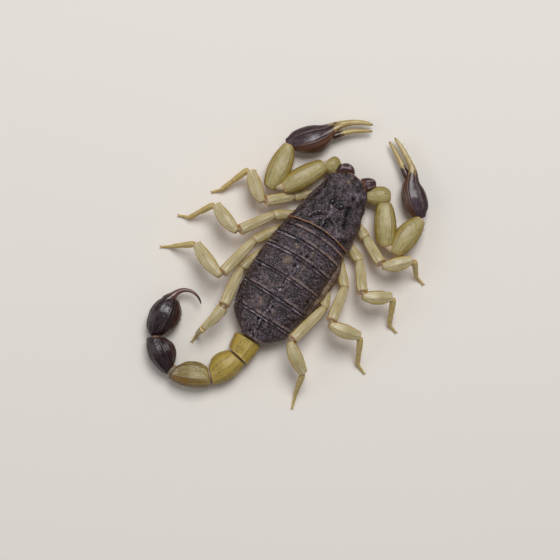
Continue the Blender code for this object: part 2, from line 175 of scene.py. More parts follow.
# Tools that the pieces share: choosing and finishing an object, reading and marking its
# points, and the noises and eased curves that raise its surface.
def clear_selection():
    if bpy.context.mode != "OBJECT":
        bpy.ops.object.mode_set(mode="OBJECT")
    bpy.ops.object.select_all(action="DESELECT")


def only(piece):
    clear_selection()
    piece.select_set(True)
    bpy.context.view_layer.objects.active = piece


def apply_modifier(piece, kind, **settings):
    only(piece)
    made = piece.modifiers.new(kind.title(), kind)
    for key, value in settings.items():
        setattr(made, key, value)
    bpy.ops.object.modifier_apply(modifier=made.name)


def settle(piece, material, slot, *replaced):
    """Finish a piece: its material, the body it rides on and the solids it hides. The slot is not used.
    """
    piece.data.materials.append(material)
    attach(piece, "root")
    if replaced:
        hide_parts(*replaced)


def read(data, key, width=3):
    values = np.zeros(len(data) * width, np.float32)
    data.foreach_get(key, values)
    return values.reshape(-1, width) if width > 1 else values


def write_mark(mesh, name, values):
    """Keep one value or vector for every point, for the material to colour by."""
    kind, key = ("FLOAT", "value") if values.ndim == 1 else ("FLOAT_VECTOR", "vector")
    layer = mesh.attributes.get(name) or mesh.attributes.new(name, kind, "POINT")
    layer.data.foreach_set(key, np.asarray(values, np.float32).ravel())


def even_mark(piece, value):
    write_mark(piece.data, "mark", np.full(len(piece.data.vertices), value))


def ripple(places, size, seed=0.0):
    """Smooth noise from -1 to 1 at points in mm, with features of this size in mm."""
    shift = Vector((seed, seed * 1.7, -seed))
    return np.array([noise.noise(Vector(place) / size + shift) for place in places])


def grains(places, size, seed=0.0):
    """Round granules from 0 to 1, one to a cell of this size in mm."""
    shift = Vector((seed, -seed, seed * 0.6))
    near = [noise.voronoi(Vector(place) / size + shift)[0][0] for place in places]
    return np.clip(1 - np.array(near) / 0.52, 0, 1) ** 0.8


def smooth(values, low, high):
    """0 below low, 1 above high, eased between."""
    share = np.clip((values - low) / (high - low), 0, 1)
    return share * share * (3 - 2 * share)


def stroke(x, y, points, width):
    """1 on a line through points, falling off over width, all in mm."""
    best = np.full(len(x), 1e9)
    for (ax, ay), (bx, by) in zip(points, points[1:]):
        run = max((bx - ax) ** 2 + (by - ay) ** 2, 1e-9)
        share = np.clip(((x - ax) * (bx - ax) + (y - ay) * (by - ay)) / run, 0, 1)
        gap = np.hypot(x - ax - share * (bx - ax), y - ay - share * (by - ay))
        best = np.minimum(best, gap)
    return hump(best, 0, width)


def hump(values, middle, width):
    """1 at a middle value, falling off over width."""
    return np.exp(-(((values - middle) / width) ** 2))


def between(values, low, rise, fall, high):
    """1 between rise and fall, eased to 0 at low and at high."""
    return smooth(values, low, rise) * (1 - smooth(values, fall, high))


def arch(across, crown, edge):
    """Height of a plate at a share of its half width."""
    return edge + (crown - edge) * np.maximum(0, 1 - np.abs(across) ** 2.3) ** 0.62


EDGE_TURN = math.pi / 2 * 0.985  # how far round its arch a plate's side edge lies


def lay_plate(name, steps, place, relief, thickness):
    """A grid laid by place(across, along), raised by relief, and given a shell's thickness."""
    clear_selection()
    bpy.ops.mesh.primitive_grid_add(x_subdivisions=steps[0], y_subdivisions=steps[1], size=2)
    piece = bpy.context.object
    piece.name = name
    mesh = piece.data
    flat = read(mesh.vertices, "co")
    across = np.sin(flat[:, 0] * EDGE_TURN) / math.sin(EDGE_TURN)
    along = (flat[:, 1] + 1) / 2
    laid = place(across, along)
    mesh.vertices.foreach_set("co", ((laid + np.array(ORIGIN)) * MM).astype(np.float32).ravel())
    mesh.update()
    normals = read(mesh.vertex_normals, "vector")
    if normals[:, 2].sum() < 0:
        mesh.flip_normals()
        normals = -normals
    lift, mark, rim, dust = relief(across, along, laid)
    raised = (laid + np.array(ORIGIN) + normals * lift[:, None]) * MM
    mesh.vertices.foreach_set("co", raised.astype(np.float32).ravel())
    write_mark(mesh, "limb", np.stack([along, across, lift], axis=1))
    for key, values in (("mark", mark), ("rim", rim), ("dust", dust)):
        write_mark(mesh, key, values)
    mesh.shade_smooth()
    apply_modifier(piece, "SOLIDIFY", thickness=thickness * MM, offset=-1)
    piece.data.set_sharp_from_angle(angle=math.radians(50))
    return piece


# Head shield: one hard arched plate of granular near-black cuticle, creased by furrows that
# run back from the eye mound, with a thin tawny rim where the shell turns under.
SHIELD_Y = (-4.9, 7.6)
SHIELD_HALF = (4.6, 6.45, 7.3)
SHIELD_CROWN = (4.9, 6.1, 6.7)
SHIELD_EDGE = (3.8, 3.8, 3.9)
SHIELD_LEAN = -0.4
SHIELD_BULGE = 2.3
SHIELD_NOTCH = 1.3
SHIELD_THICK = 0.5
TUBERCLE_RISE = 0.8
TUBERCLE_HALF = 1.5
THIRDS = (0, 0.5, 1)


def shield_place(across, along):
    half = np.interp(along, THIRDS, SHIELD_HALF)
    crown = np.interp(along, THIRDS, SHIELD_CROWN)
    edge = np.interp(along, THIRDS, SHIELD_EDGE)
    flat = 1 - across * across
    x = across * half
    y = SHIELD_Y[0] + (SHIELD_Y[1] - SHIELD_Y[0]) * along
    y = y - SHIELD_BULGE * flat * (1 - along) - SHIELD_NOTCH * flat * along
    bump = TUBERCLE_RISE * np.exp(-(x * x + y * y) / TUBERCLE_HALF**2)
    lean = SHIELD_LEAN * np.sin(math.pi * along)
    return np.stack([x + lean, y, arch(across, crown, edge) + bump], axis=1)


# Lines in mm around the eye mound: raised creases and sunken furrows, each a path, a width and
# a height; then round swellings and pits, each a place, a radius and a height. The material paints
# raised places lighter as painted highlight and sunken ones darker as painted shade, so that the
# furrows, the pits and the hollows beside the eyes read dark.
SHIELD_CREASES = (
    (((0.95, 0.7), (0.3, 1.6), (0.07, 2.3), (0.44, 4.35), (0.27, 5.7)), 0.2, 0.3),
    (((-0.95, 0.7), (-0.4, 1.7), (0.05, 2.5)), 0.13, 0.16),
    (((0.1, 2.4), (1.2, 2.6), (2.3, 3.2), (3.1, 3.9), (3.6, 5.3)), 0.2, 0.36),
    (((0.44, 4.35), (1.05, 4.2), (2.0, 5.0)), 0.13, 0.2),
    (((0.1, 2.6), (-0.98, 3.4), (-2.2, 3.8), (-2.7, 4.3), (-3.2, 5.4)), 0.15, 0.26),
    (((0.3, 5.0), (-0.9, 3.9), (-2.0, 2.3)), 0.13, 0.14),
    (((0.38, -0.2), (0.34, 1.3)), 0.12, 0.2),
    (((1.8, -0.6), (1.4, -1.9), (1.7, -3.6)), 0.2, 0.14),
    (((-1.8, -0.6), (-1.3, -1.9), (-1.5, -3.4)), 0.2, 0.14),
)
SHIELD_FURROWS = (
    (((0.9, 5.8), (0.95, 4.8)), 0.25, 0.2),
    (((-0.3, 5.6), (-0.25, 3.6)), 0.25, 0.2),
    (((0.9, 3.1), (2.1, 3.75), (2.9, 4.5), (3.3, 5.6)), 0.26, 0.3),
    (((-0.9, 3.95), (-2.1, 4.35), (-2.5, 5.0)), 0.26, 0.22),
    (((4.3, 3.4), (3.4, 1.6), (3.1, -0.6)), 0.5, 0.26),
    (((-4.3, 3.4), (-3.4, 1.6), (-3.1, -0.6)), 0.5, 0.26),
    (((0.0, 0.9), (-0.05, -1.6)), 0.2, 0.2),
    (((-0.1, -3.4), (-0.3, -5.6)), 0.6, 0.26),
    (((-0.5, -6.2), (-0.5, -7.4)), 0.34, 0.3),
    (((-5.0, 1.0), (-4.2, -2.4)), 0.5, 0.16),
    (((5.0, 1.0), (4.2, -2.4)), 0.5, 0.16),
)
SHIELD_SWELLINGS = (
    (1.75, -4.2, 0.8, 0.2), (-1.3, -4.6, 0.75, 0.16), (-2.5, -2.8, 1.15, 0.3), (2.5, -2.7, 1.15, 0.26),
    (3.6, -4.0, 0.7, 0.18), (-3.9, -4.2, 0.6, 0.18), (3.3, 2.3, 0.9, 0.18), (-3.2, 2.4, 0.9, 0.18),
    (-2.4, -2.85, 0.42, -0.62), (2.35, -2.75, 0.42, -0.55), (1.15, 0.15, 0.8, -0.2),
    (-1.15, 0.15, 0.8, -0.2),
    (4.6, 4.9, 1.1, 0.2), (-4.7, 4.9, 1.1, 0.2), (1.5, -6.0, 0.7, 0.12),
)


def shield_relief(across, along, laid):
    x, y = laid[:, 0], laid[:, 1]
    wander = ripple(laid, 0.9, 3.0) * 0.22
    lift = 0.28 * ripple(laid, 2.4, 1.0) + 0.08 * ripple(laid, 0.9, 2.0)
    lift += 0.4 * (0.22 - np.abs(ripple(laid, 1.8, 6.0))) + 0.06 * ripple(laid, 0.45, 9.0)
    for middle_x, middle_y, radius, height in SHIELD_SWELLINGS:
        gap = (x - middle_x + wander) ** 2 + (y - middle_y - wander) ** 2
        lift += height * np.exp(-gap / radius**2)
    # The raised creases are also painted pale by the material, as a painted highlight along their ridges.
    highlit_crease = np.zeros(len(x))
    for points, width, height in SHIELD_CREASES:
        line = stroke(x + wander, y - wander, points, width) * (0.75 + 0.5 * ripple(laid, 0.5, height))
        lift += line * height
        if height > 0.15:
            highlit_crease = np.maximum(highlit_crease, line * np.clip(0.95 + 0.7 * ripple(laid, 0.8, 11.0), 0.5, 1))
    for points, width, depth in SHIELD_FURROWS:
        lift -= stroke(x - wander, y + wander, points, width) * depth
    lift += grains(laid, 0.3, 1.0) * 0.05 * (1 - 0.5 * highlit_crease)
    rim = np.maximum(0.55 * smooth(np.abs(across), 0.98, 0.992), smooth(along, 0.972, 0.984))
    rim = np.maximum(rim, 1 - smooth(along, 0.008, 0.018))
    lift += 0.07 * rim
    dust = 0.8 * np.exp(-((x - 0.2) ** 2 / 3 + (y + 5.6) ** 2) / 0.9)
    return lift, highlit_crease, rim, dust


SHIELD_GRID = (190, 170)
shield = lay_plate("carapace_shell", SHIELD_GRID, shield_place, shield_relief, SHIELD_THICK)


# Tools for the materials: readings of noises and of each point's marks and place on its piece,
# and coats of colour that are laid over one another by those readings.
def readings(tree, noises, marks=()):
    """Values over a piece: noises with a size in mm, a detail and a roughness, and its marks."""
    where = {"place": add(tree, "ShaderNodeTexCoord").outputs["Object"]}
    for key, size, detail, rough in noises:
        pattern = {"Vector": where["place"], "Scale": per_mm(size), "Detail": detail, "Roughness": rough}
        where[key] = add(tree, "ShaderNodeTexNoise", pattern).outputs["Fac"]
    for key in marks:
        where[key] = add(tree, "ShaderNodeAttribute", attribute_name=key).outputs["Fac"]
    return where


def limb_readings(tree):
    """Each point's share along and across its limb, and how far it faces up or is raised."""
    limb = add(tree, "ShaderNodeAttribute", attribute_name="limb").outputs["Vector"]
    parts = add(tree, "ShaderNodeSeparateXYZ", {"Vector": limb}).outputs
    return {"limb": limb, "along": parts["X"], "side": parts["Y"], "top": parts["Z"], "lift": parts["Z"]}


def coated(tree, skin, where, coats):
    """Lay coats over a colour. Each is (where, from, to, colour, strength), and may go on with
    another (where, from, to) that breaks it up."""
    for source, start, end, colour, factor, *more in coats:
        for key, low, high in ((source, start, end), *more):
            span = {"Value": where[key], "From Min": low, "From Max": high, "To Max": factor}
            made = add(tree, "ShaderNodeMapRange", span, interpolation_type="SMOOTHSTEP")
            factor = made.outputs["Result"]
        colours = {"Factor": factor, 6: skin, 7: linear(colour)}
        skin = add(tree, "ShaderNodeMix", colours, data_type="RGBA").outputs[2]
    return skin


# Scorpion cuticle, a tanned chitin laminate as hard as a fingernail. The dark back plates are
# near-black brown, with fine granules and dusty tan scuffs. Raised places are painted lighter as
# painted highlight, the paler granules and the crests carry painted violet-grey glints, and sunken
# places are painted darker as painted shade.
def back_material(name, gritty):
    material, tree = blank_material(name)
    noises = (("cloud", 2.2, 4, 0.6), ("fleck", 0.5, 3, 0.7), ("scuff", 1.3, 5, 0.65))
    where = readings(tree, noises, ("mark", "rim", "dust")) | limb_readings(tree)
    where["edge"] = add(tree, "ShaderNodeMath", {0: where["side"]}, operation="ABSOLUTE").outputs[0]
    cells = add(tree, "ShaderNodeTexVoronoi", {"Vector": where["place"], "Scale": per_mm(0.22)})
    where["grit"] = add(tree, "ShaderNodeSeparateColor", {"Color": cells.outputs["Color"]}).outputs["Red"]
    dusting = add(tree, "ShaderNodeMath", {0: where["dust"], 1: 0.8}, operation="MULTIPLY")
    skin = coated(tree, linear("21171A"), where, (
        ("cloud", 0.35, 0.7, "54414A", 1.0),
        ("edge", 0.4, 0.95, "3A2418", 0.65),
        # Painted highlight: raised places are lighter, and the highest crests carry painted glints.
        ("lift", 0.04, 0.5, "84727E", 0.9),
        ("lift", 0.12, 0.4, "ACA0B0", 0.75, ("fleck", 0.51, 0.6)),
        # Paler granules, partly the grain and partly a painted violet-grey glint; then darker granules
        # and flecks.
        ("grit", 0.58, 0.85, "7C6E78", 0.8 * gritty, ("scuff", 0.2, 0.64)),
        ("grit", 0.38, 0.2, "0B0607", 0.85 * gritty),
        ("fleck", 0.47, 0.37, "090505", 0.6 * gritty),
        # Painted shade: sunken places, such as furrows, pits and the gutters between plates, are darker.
        ("lift", 0.02, -0.28, "0F0605", 0.95),
        ("scuff", 0.46, 0.62, "927862", dusting.outputs[0]),
        ("edge", 0.9, 0.94, "5E4632", 0.6, ("fleck", 0.35, 0.6)),
        # Pale marks: on the shield a painted highlight along its creases; on the plates their paler front
        # strip with patches of painted highlight, and painted glints by the midline.
        ("mark", 0.3, 0.88, "AEA2AC", 0.88, ("fleck", 0.4, 0.54)),
        ("rim", 0.2, 0.6, "84706C", 0.95, ("fleck", 0.36, 0.5)),
        ("rim", 0.8, 1.0, "94643C", 1.0, ("scuff", 0.36, 0.5)),
    ))
    gloss = add(tree, "ShaderNodeMapRange", {"Value": where["fleck"], "To Min": 0.16, "To Max": 0.46})
    height = {0: cells.outputs["Distance"], 1: where["fleck"]}
    bump = {"Strength": 1.0, "Distance": 0.1 * MM,
            "Height": add(tree, "ShaderNodeMath", height, operation="SUBTRACT").outputs[0]}
    end_in_shader(tree, {"Base Color": skin, "Roughness": gloss.outputs["Result"], "IOR": 1.5,
                         "Normal": add(tree, "ShaderNodeBump", bump, invert=True).outputs["Normal"]})
    return material


settle(shield, back_material("smooth black cuticle", 0.8), "dark_shell", "carapace")


# Back plates: seven sclerites of the same shell, each sliding under the one ahead. The front
# strip of each is smooth and paler, with patches of painted highlight, the rest granular with
# painted glints by the midline, and its rear edge is a thin brown rim.
PLATE_ENDS = (7.9, 8.9, 11.0, 14.2, 18.7, 23.2, 28.1, 33.3)
PLATE_NOTCH = 1.1
TRUNK_LENGTH = PLATE_ENDS[-1] - PLATE_ENDS[0]
TRUNK_HALF = 7.75
TRUNK_REAR_HALF = 5.2
TRUNK_CROWN = 7.5
TRUNK_EDGE = 4.2
TRUNK_LEAN = 0.7
LAST_PLATE_Y = 29.5
LAST_PLATE_HALF = 2.5
LAST_PLATE_LIFT = 0.9
PLATE_THICK = 0.35
PLATE_COLUMNS = 170
PLATE_ROWS_PER_MM = 13
PLATE_LEAST_ROWS = 24
PLATE_TUCK = 0.75  # how far a plate reaches under the one ahead
PLATE_LAP = 0.1  # how far its rear edge reaches over the one behind
PLATE_RISE = 0.16  # how much higher its rear edge stands than its front


def trunk_share(y):
    return (y - PLATE_ENDS[0]) / TRUNK_LENGTH


def tail_share(y):
    return np.maximum(0, (y - LAST_PLATE_Y) / (PLATE_ENDS[-1] - LAST_PLATE_Y))


def trunk_half(y):
    share = trunk_share(y)
    full = TRUNK_HALF - 0.45 * (1 - np.clip(share / 0.4, 0, 1)) ** 2
    full = full - (TRUNK_HALF - TRUNK_REAR_HALF) * (np.maximum(0, share - 0.5) / 0.5) ** 2.2
    return full - (TRUNK_REAR_HALF - LAST_PLATE_HALF) * tail_share(y) ** 1.6


def trunk_crown(y):
    front_fall = 0.8 * (1 - np.clip(trunk_share(y) / 0.35, 0, 1)) ** 2
    return TRUNK_CROWN - front_fall - 1.6 * (np.maximum(0, trunk_share(y) - 0.55) / 0.45) ** 1.6


def trunk_edge(y):
    front_fall = 0.3 * (1 - np.clip(trunk_share(y) / 0.35, 0, 1))
    rear_fall = 0.6 * np.maximum(0, trunk_share(y) - 0.55) / 0.45
    return TRUNK_EDGE - front_fall - rear_fall + LAST_PLATE_LIFT * tail_share(y)


def middle_line(y):
    return TRUNK_LEAN * np.sin(math.pi * np.clip(trunk_share(y), 0, 1))


def back_plate(index):
    front, rear = PLATE_ENDS[index], PLATE_ENDS[index + 1]
    length = rear - front

    def place(across, along):
        y = front - PLATE_TUCK + (length + PLATE_TUCK + PLATE_LAP) * along
        notch = PLATE_NOTCH * np.maximum(0, 1 - trunk_share(y) * 1.3)
        half = trunk_half(np.minimum(y, PLATE_ENDS[-1] - 0.02))
        tucked = smooth(front + 0.25 - y, 0, 0.6)
        z = arch(across, trunk_crown(y), trunk_edge(y)) + PLATE_RISE * (y - front) / length - 0.5 * tucked
        x = middle_line(y) + across * half * (1 - 0.015 * tucked)
        return np.stack([x, y - notch * (1 - across * across), z], axis=1)

    def relief(across, along, laid):
        behind = along * (length + PLATE_TUCK + PLATE_LAP) - PLATE_TUCK  # mm behind the front line
        wide = length > 2.5
        wander = 0.1 * ripple(laid, 2.0, index + 3.0)
        band = hump(behind - wander, 0.58, 0.2) * wide
        step = hump(behind - wander, 1.02, 0.12) * wide
        gutter = hump(behind, 0.24, 0.12)
        rough = smooth(behind, 0.7, 1.2)
        # The gutter behind the plate ahead is sunk, and the material paints it dark as painted shade.
        lift = 0.15 * band - 0.12 * step - 0.16 * gutter
        lift += rough * (0.07 * grains(laid, 0.32, index + 5.0) + 0.1 * ripple(laid, 1.1, index + 1.0))
        keel = hump(across * 7, 0, 0.28) * rough * (length > 1.5)
        lift += 0.16 * keel * (0.6 + 0.4 * ripple(laid, 0.5, index))
        sides = hump(np.abs(across) * 7, 2.3, 0.5) * rough * wide
        lift -= 0.07 * sides
        lift += 0.06 * ripple(laid * (0.3, 1.7, 1), 0.5, index + 9.0)
        edge = smooth(np.abs(across), 0.975, 0.99)
        rear = smooth(behind - length + 0.08 * ripple(laid, 0.5, index), -0.46, -0.3)
        groove = hump(length - behind, 0.7, 0.1) * (length > 1.5)
        fold = hump(np.abs(across), 0.905, 0.007) * rough
        lift += 0.07 * np.maximum(rear, edge) - 0.07 * groove + 0.08 * fold
        x, middle = laid[:, 0], (front + rear) / 2
        gap = x - middle_line(middle) + 0.25 * ripple(laid, 0.7, index + 6.0)
        # Pits beside the keel, sunk so that the material paints them dark as painted shade.
        pits = hump(np.abs(gap), 0.55, 0.26) * np.clip(4 * ripple(laid, 0.9, index + 2.0), 0, 1)
        lift -= 0.34 * pits * rough * wide
        # Painted glint: bright dashes beside the midline.
        glint = hump(gap, 0, 0.5) * np.clip(4 * ripple(laid * (2.2, 0.8, 1), 0.7, index), 0, 1)
        blotch = hump(gap, 2.7, 1.1) + 0.8 * hump(gap, -1.4, 0.5)
        dust = blotch * hump(behind / length, 0.5, 0.3) * rough * (1 if index in (2, 3, 4, 5) else 0.4)
        worn = np.clip(0.62 + 1.1 * ripple(laid, 2.6, index + 4.0) - 0.03 * laid[:, 0], 0.15, 1)
        rim = np.maximum(np.maximum(rear, 0.8 * edge), 0.8 * fold) * worn * (0.88 if index < 2 else 0.76)
        # The colour marks: the front band, broken into patches that are partly painted highlight, and the
        # painted glints.
        band *= np.clip(0.55 + 1.3 * ripple(laid, 1.8, index + 2.0), 0, 1)
        pale = np.maximum(band, glint * rough * wide)
        return lift, pale, rim, dust

    rows = max(PLATE_LEAST_ROWS, int(length * PLATE_ROWS_PER_MM))
    return lay_plate(f"tergite_{index + 1}", (PLATE_COLUMNS, rows), place, relief, PLATE_THICK)


BACK = back_material("granular black cuticle", 1.0)
for index in range(len(PLATE_ENDS) - 1):
    tergite = back_plate(index)
    settle(tergite, BACK, "dark_shell", f"back_plate_{index + 1}")


# Limbs and tail are hollow tubes of the same cuticle. Each is drawn as a ring of points that is
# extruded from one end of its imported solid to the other, then smoothed and given its keels.
def flat_patches(work):
    """The solid's faces in groups that lie in one plane, smallest group first."""
    left, patches = set(work.faces), []
    while left:
        first = left.pop()
        patch, queue = [first], [first]
        while queue:
            for edge in queue.pop().edges:
                for face in edge.link_faces:
                    if face in left and face.normal.dot(first.normal) > 0.9999:
                        left.discard(face)
                        patch.append(face)
                        queue.append(face)
        patches.append(patch)
    return sorted(patches, key=len)


class Spine:
    """The middle line of a packed tube, from the end nearest to a point, with its sizes in mm."""

    def __init__(self, centres, facings, halves):
        self.centres, self.facings, self.halves = (np.array(a, float) for a in (centres, facings, halves))
        steps = np.linalg.norm(np.diff(self.centres, axis=0), axis=1)
        self.length = steps.sum()
        self.stops = np.concatenate([[0], np.cumsum(steps)]) / self.length
        self.width, self.height = self.halves.max(axis=0)

    def at(self, share):
        """Middle point, facing and half sizes at a share of the length; it runs on past its ends."""
        kept = min(max(share, 0), 1)
        middle = Vector([np.interp(kept, self.stops, self.centres[:, k]) for k in range(3)])
        facing = Vector([np.interp(kept, self.stops, self.facings[:, k]) for k in range(3)]).normalized()
        half = [np.interp(kept, self.stops, self.halves[:, k]) for k in range(2)]
        return middle + facing * (share - kept) * self.length, facing, half

    def stretch(self, first, last, count=6):
        """The spine between two shares."""
        rows = [self.at(first + (last - first) * k / (count - 1)) for k in range(count)]
        return Spine(*zip(*rows))

    def reaching(self, first, last):
        """The same spine, made longer or shorter at its ends, with its sizes kept."""
        made = self.stretch(first, last, count=12)
        made.width, made.height = self.width, self.height
        return made


def spine_of(name, near):
    work = bmesh.new()
    work.from_mesh(nodes[name].data)
    bmesh.ops.remove_doubles(work, verts=work.verts, dist=1e-6)
    caps = [{v for face in patch for v in face.verts} for patch in flat_patches(work)[-2:]]
    caps.sort(key=lambda cap: (sum((v.co for v in cap), Vector()) / len(cap) / MM - near).length)
    rings, seen = [caps[0]], set(caps[0])
    while True:
        beyond = {e.other_vert(v) for v in rings[-1] for e in v.link_edges} - seen
        if not beyond:
            break
        rings.append(beyond)
        seen |= beyond
    points = [np.array([v.co / MM for v in ring]) for ring in rings]
    work.free()
    centres = [p.mean(axis=0) for p in points]
    facings, halves = [], []
    for k, ring in enumerate(points):
        run = Vector(centres[min(k + 1, len(points) - 1)] - centres[max(k - 1, 0)])
        facing = Vector(np.linalg.svd(ring - centres[k])[2][2])
        facing = facing if facing.dot(run) > 0 else -facing
        side, up = cross_axes(facing)
        facings.append(facing)
        halves.append([np.abs((ring - centres[k]) @ np.array(axis)).max() for axis in (side, up)])
    return Spine(centres, facings, halves)


def rod(start, end, half, high):
    """A straight spine of even size."""
    facing = (end - start).normalized()
    return Spine((start, end), (facing, facing), ((half, high),) * 2)


def cross_axes(facing):
    side = facing.cross(Vector((0, 0, 1))).normalized()
    return side, side.cross(facing)


def hollow_tube(name, spine, form, sides=16, levels=2, squareness=2.3, own_size=False):
    """Extrude a ring along a spine through (share, width, height) steps, close and smooth it. A
    step with no height is as high as it is wide."""
    form = [(*step, step[-1])[:3] for step in form]
    clear_selection()
    bpy.ops.mesh.primitive_circle_add(vertices=sides, fill_type="NGON")
    piece = bpy.context.object
    piece.name = name
    bpy.ops.object.mode_set(mode="EDIT")
    swell = 1 / (1 - (1 - math.cos(2 * math.pi / sides)) / 3)  # what smoothing takes off a ring
    caps = [(share, width / 2, height / 2) for share, width, height in (form[0], form[-1])]
    for index, (share, width, height) in enumerate([caps[0], *form, caps[1]]):
        if index:
            bpy.ops.mesh.extrude_region_move()
        work = bmesh.from_edit_mesh(piece.data)
        layer = work.verts.layers.float_vector.get("limb") or work.verts.layers.float_vector.new("limb")
        ring = next(face for face in work.faces if face.select)
        middle, facing, own = spine.at(share)
        side, up = cross_axes(facing)
        half, high = own if own_size else (spine.width, spine.height)
        for k, vert in enumerate(ring.verts):
            angle = 2 * math.pi * (k + 0.5) / sides
            s, u = math.sin(angle), math.cos(angle)
            fit = swell * (abs(s) ** squareness + abs(u) ** squareness) ** (-1 / squareness)
            vert.co = (middle + side * s * fit * half * width + up * u * fit * high * height) * MM
            vert[layer] = (share, s, u)
        bmesh.update_edit_mesh(piece.data)
    bpy.ops.mesh.select_all(action="SELECT")
    bpy.ops.mesh.normals_make_consistent(inside=False)
    bpy.ops.object.mode_set(mode="OBJECT")
    apply_modifier(piece, "SUBSURF", levels=levels, render_levels=levels)
    piece.data.shade_smooth()
    return piece


def sculpt(piece, rule, hand=1):
    """Move each point along its normal by rule(along, turn, place) in mm; turn is the angle round
    the limb in degrees, 0 on top and growing to its right, or to its left where hand is -1. The
    rule's mark is kept for colour."""
    mesh = piece.data
    limb = read(mesh.attributes["limb"].data, "vector") * (1, hand, 1)
    write_mark(mesh, "limb", limb)
    points = read(mesh.vertices, "co")
    turn = np.degrees(np.arctan2(limb[:, 1], limb[:, 2]))
    lift, mark = rule(limb[:, 0], turn, points / MM)
    moved = points + read(mesh.vertex_normals, "vector") * (lift * MM)[:, None]
    mesh.vertices.foreach_set("co", moved.astype(np.float32).ravel())
    write_mark(mesh, "mark", mark)
    mesh.update()
    return piece


def keels(turn, places, width):
    """1 along each keel at these angles in degrees, falling off over width degrees."""
    total = np.zeros(len(turn))
    for place in places:
        total = np.maximum(total, hump((turn - place + 180) % 360, 180, width))
    return total


def facets(turn, corners, deepest=0.2):
    """How far flat faces between these corners lie inside a round section of radius 1."""
    ends = sorted(corners)
    drop = np.zeros(len(turn))
    for start, end in zip(ends, ends[1:] + [ends[0] + 360]):
        half = (end - start) / 2
        gap = (turn - (start + end) / 2 + 180) % 360 - 180
        flat = 1 - math.cos(math.radians(min(half, 60))) / np.cos(np.radians(np.clip(gap, -60, 60)))
        drop = np.where(np.abs(gap) <= half, np.clip(flat, 0, deepest), drop)
    return drop


def joined(name, pieces):
    clear_selection()
    for piece in pieces:
        piece.select_set(True)
    bpy.context.view_layer.objects.active = pieces[0]
    bpy.ops.object.join()
    pieces[0].name = name
    return pieces[0]


# Cuticle without the dark tanning is olive-yellow and a little see-through, with paler rims at the
# joints. Its upper faces are painted creamy as a painted highlight, and its low sides a bright honey,
# partly its own colour and partly painted light through the thin shell.
DRIFT = 0.5  # how far the cloudy noise shifts a "~" reading


def cuticle(name, base, coats, gloss, grain=0.35, bump=0.35, soft=0.0):
    """Polished chitin: a base colour with coats over it, and a grain of this size in mm."""
    material, tree = blank_material(name)
    noises = (("cloud", 1.4, 4, 0.6), ("fleck", grain, 3, 0.65))
    where = readings(tree, noises, ("mark",)) | limb_readings(tree)
    drawn = add(tree, "ShaderNodeVectorMath", {0: where["limb"], 1: (2.5, 9, 9)}, operation="MULTIPLY")
    streak = add(tree, "ShaderNodeTexNoise", {"Vector": drawn.outputs["Vector"], "Scale": 1, "Detail": 3})
    where["streak"] = streak.outputs["Fac"]
    keel = add(tree, "ShaderNodeMath", {0: where["mark"], 1: where["fleck"]}, operation="MULTIPLY")
    where["keel"] = keel.outputs[0]
    drift = add(tree, "ShaderNodeMath", {0: where["cloud"], 1: 0.5}, operation="SUBTRACT").outputs[0]
    for key in ("along", "side", "top"):
        drifting = {0: drift, 1: DRIFT, 2: where[key]}
        where["~" + key] = add(tree, "ShaderNodeMath", drifting, operation="MULTIPLY_ADD").outputs[0]
    polish = {"Value": where["fleck"], "To Min": gloss - 0.1, "To Max": gloss + 0.14}
    bumps = {"Strength": bump, "Distance": 0.05 * MM, "Height": where["fleck"]}
    rise = add(tree, "ShaderNodeBump", bumps)
    end_in_shader(tree, {
        "Base Color": coated(tree, linear(base), where, coats), "IOR": 1.56,
        "Roughness": add(tree, "ShaderNodeMapRange", polish).outputs["Result"],
        "Subsurface Weight": soft, "Subsurface Radius": (1.0, 0.6, 0.25), "Subsurface Scale": 0.6 * MM,
        "Normal": rise.outputs["Normal"]})
    return material


# The materials of the limbs and the tail: four untanned, one half tanned and one dark. "~"
# before a reading lets its edge wander with the cloudy noise. A "~top" coat that lightens the upper
# faces is a painted highlight.
PALE = cuticle("untanned cuticle", "A8781C", (
    # Painted highlight: the upper faces lighter and creamy over the golden sides.
    ("~top", -0.3, 0.25, "98802E", 1.0), ("cloud", 0.5, 0.8, "8C7230", 0.4),
    ("~top", 0.55, 0.9, "ACA06C", 0.8), ("streak", 0.5, 0.66, "C2B686", 0.6),
    ("streak", 0.46, 0.32, "7A642C", 0.5), ("fleck", 0.54, 0.7, "6A5624", 0.45),
    ("keel", 0.1, 0.36, "4E3E16", 0.75), ("along", 0.965, 0.98, "C8A674", 0.8),
    ("along", 0.04, 0.01, "A88A62", 0.6),
), 0.4, grain=0.3, soft=0.1)
OLIVE = cuticle("olive tail cuticle", "946C12", (
    # Painted highlight: the upper faces lighter and creamy over the golden sides.
    ("~top", -0.4, 0.3, "A98C2A", 1.0), ("cloud", 0.5, 0.8, "8A7026", 0.45),
    ("~top", 0.6, 0.95, "BBA452", 0.7), ("streak", 0.52, 0.7, "BCA866", 0.5),
    ("streak", 0.47, 0.34, "735C1C", 0.5), ("fleck", 0.53, 0.7, "65501A", 0.5),
    ("keel", 0.14, 0.5, "3A2C0E", 0.8), ("along", 0.96, 0.975, "C8A06A", 0.85),
    ("along", 0.03, 0.0, "7A624A", 0.7),
), 0.46, soft=0.08)
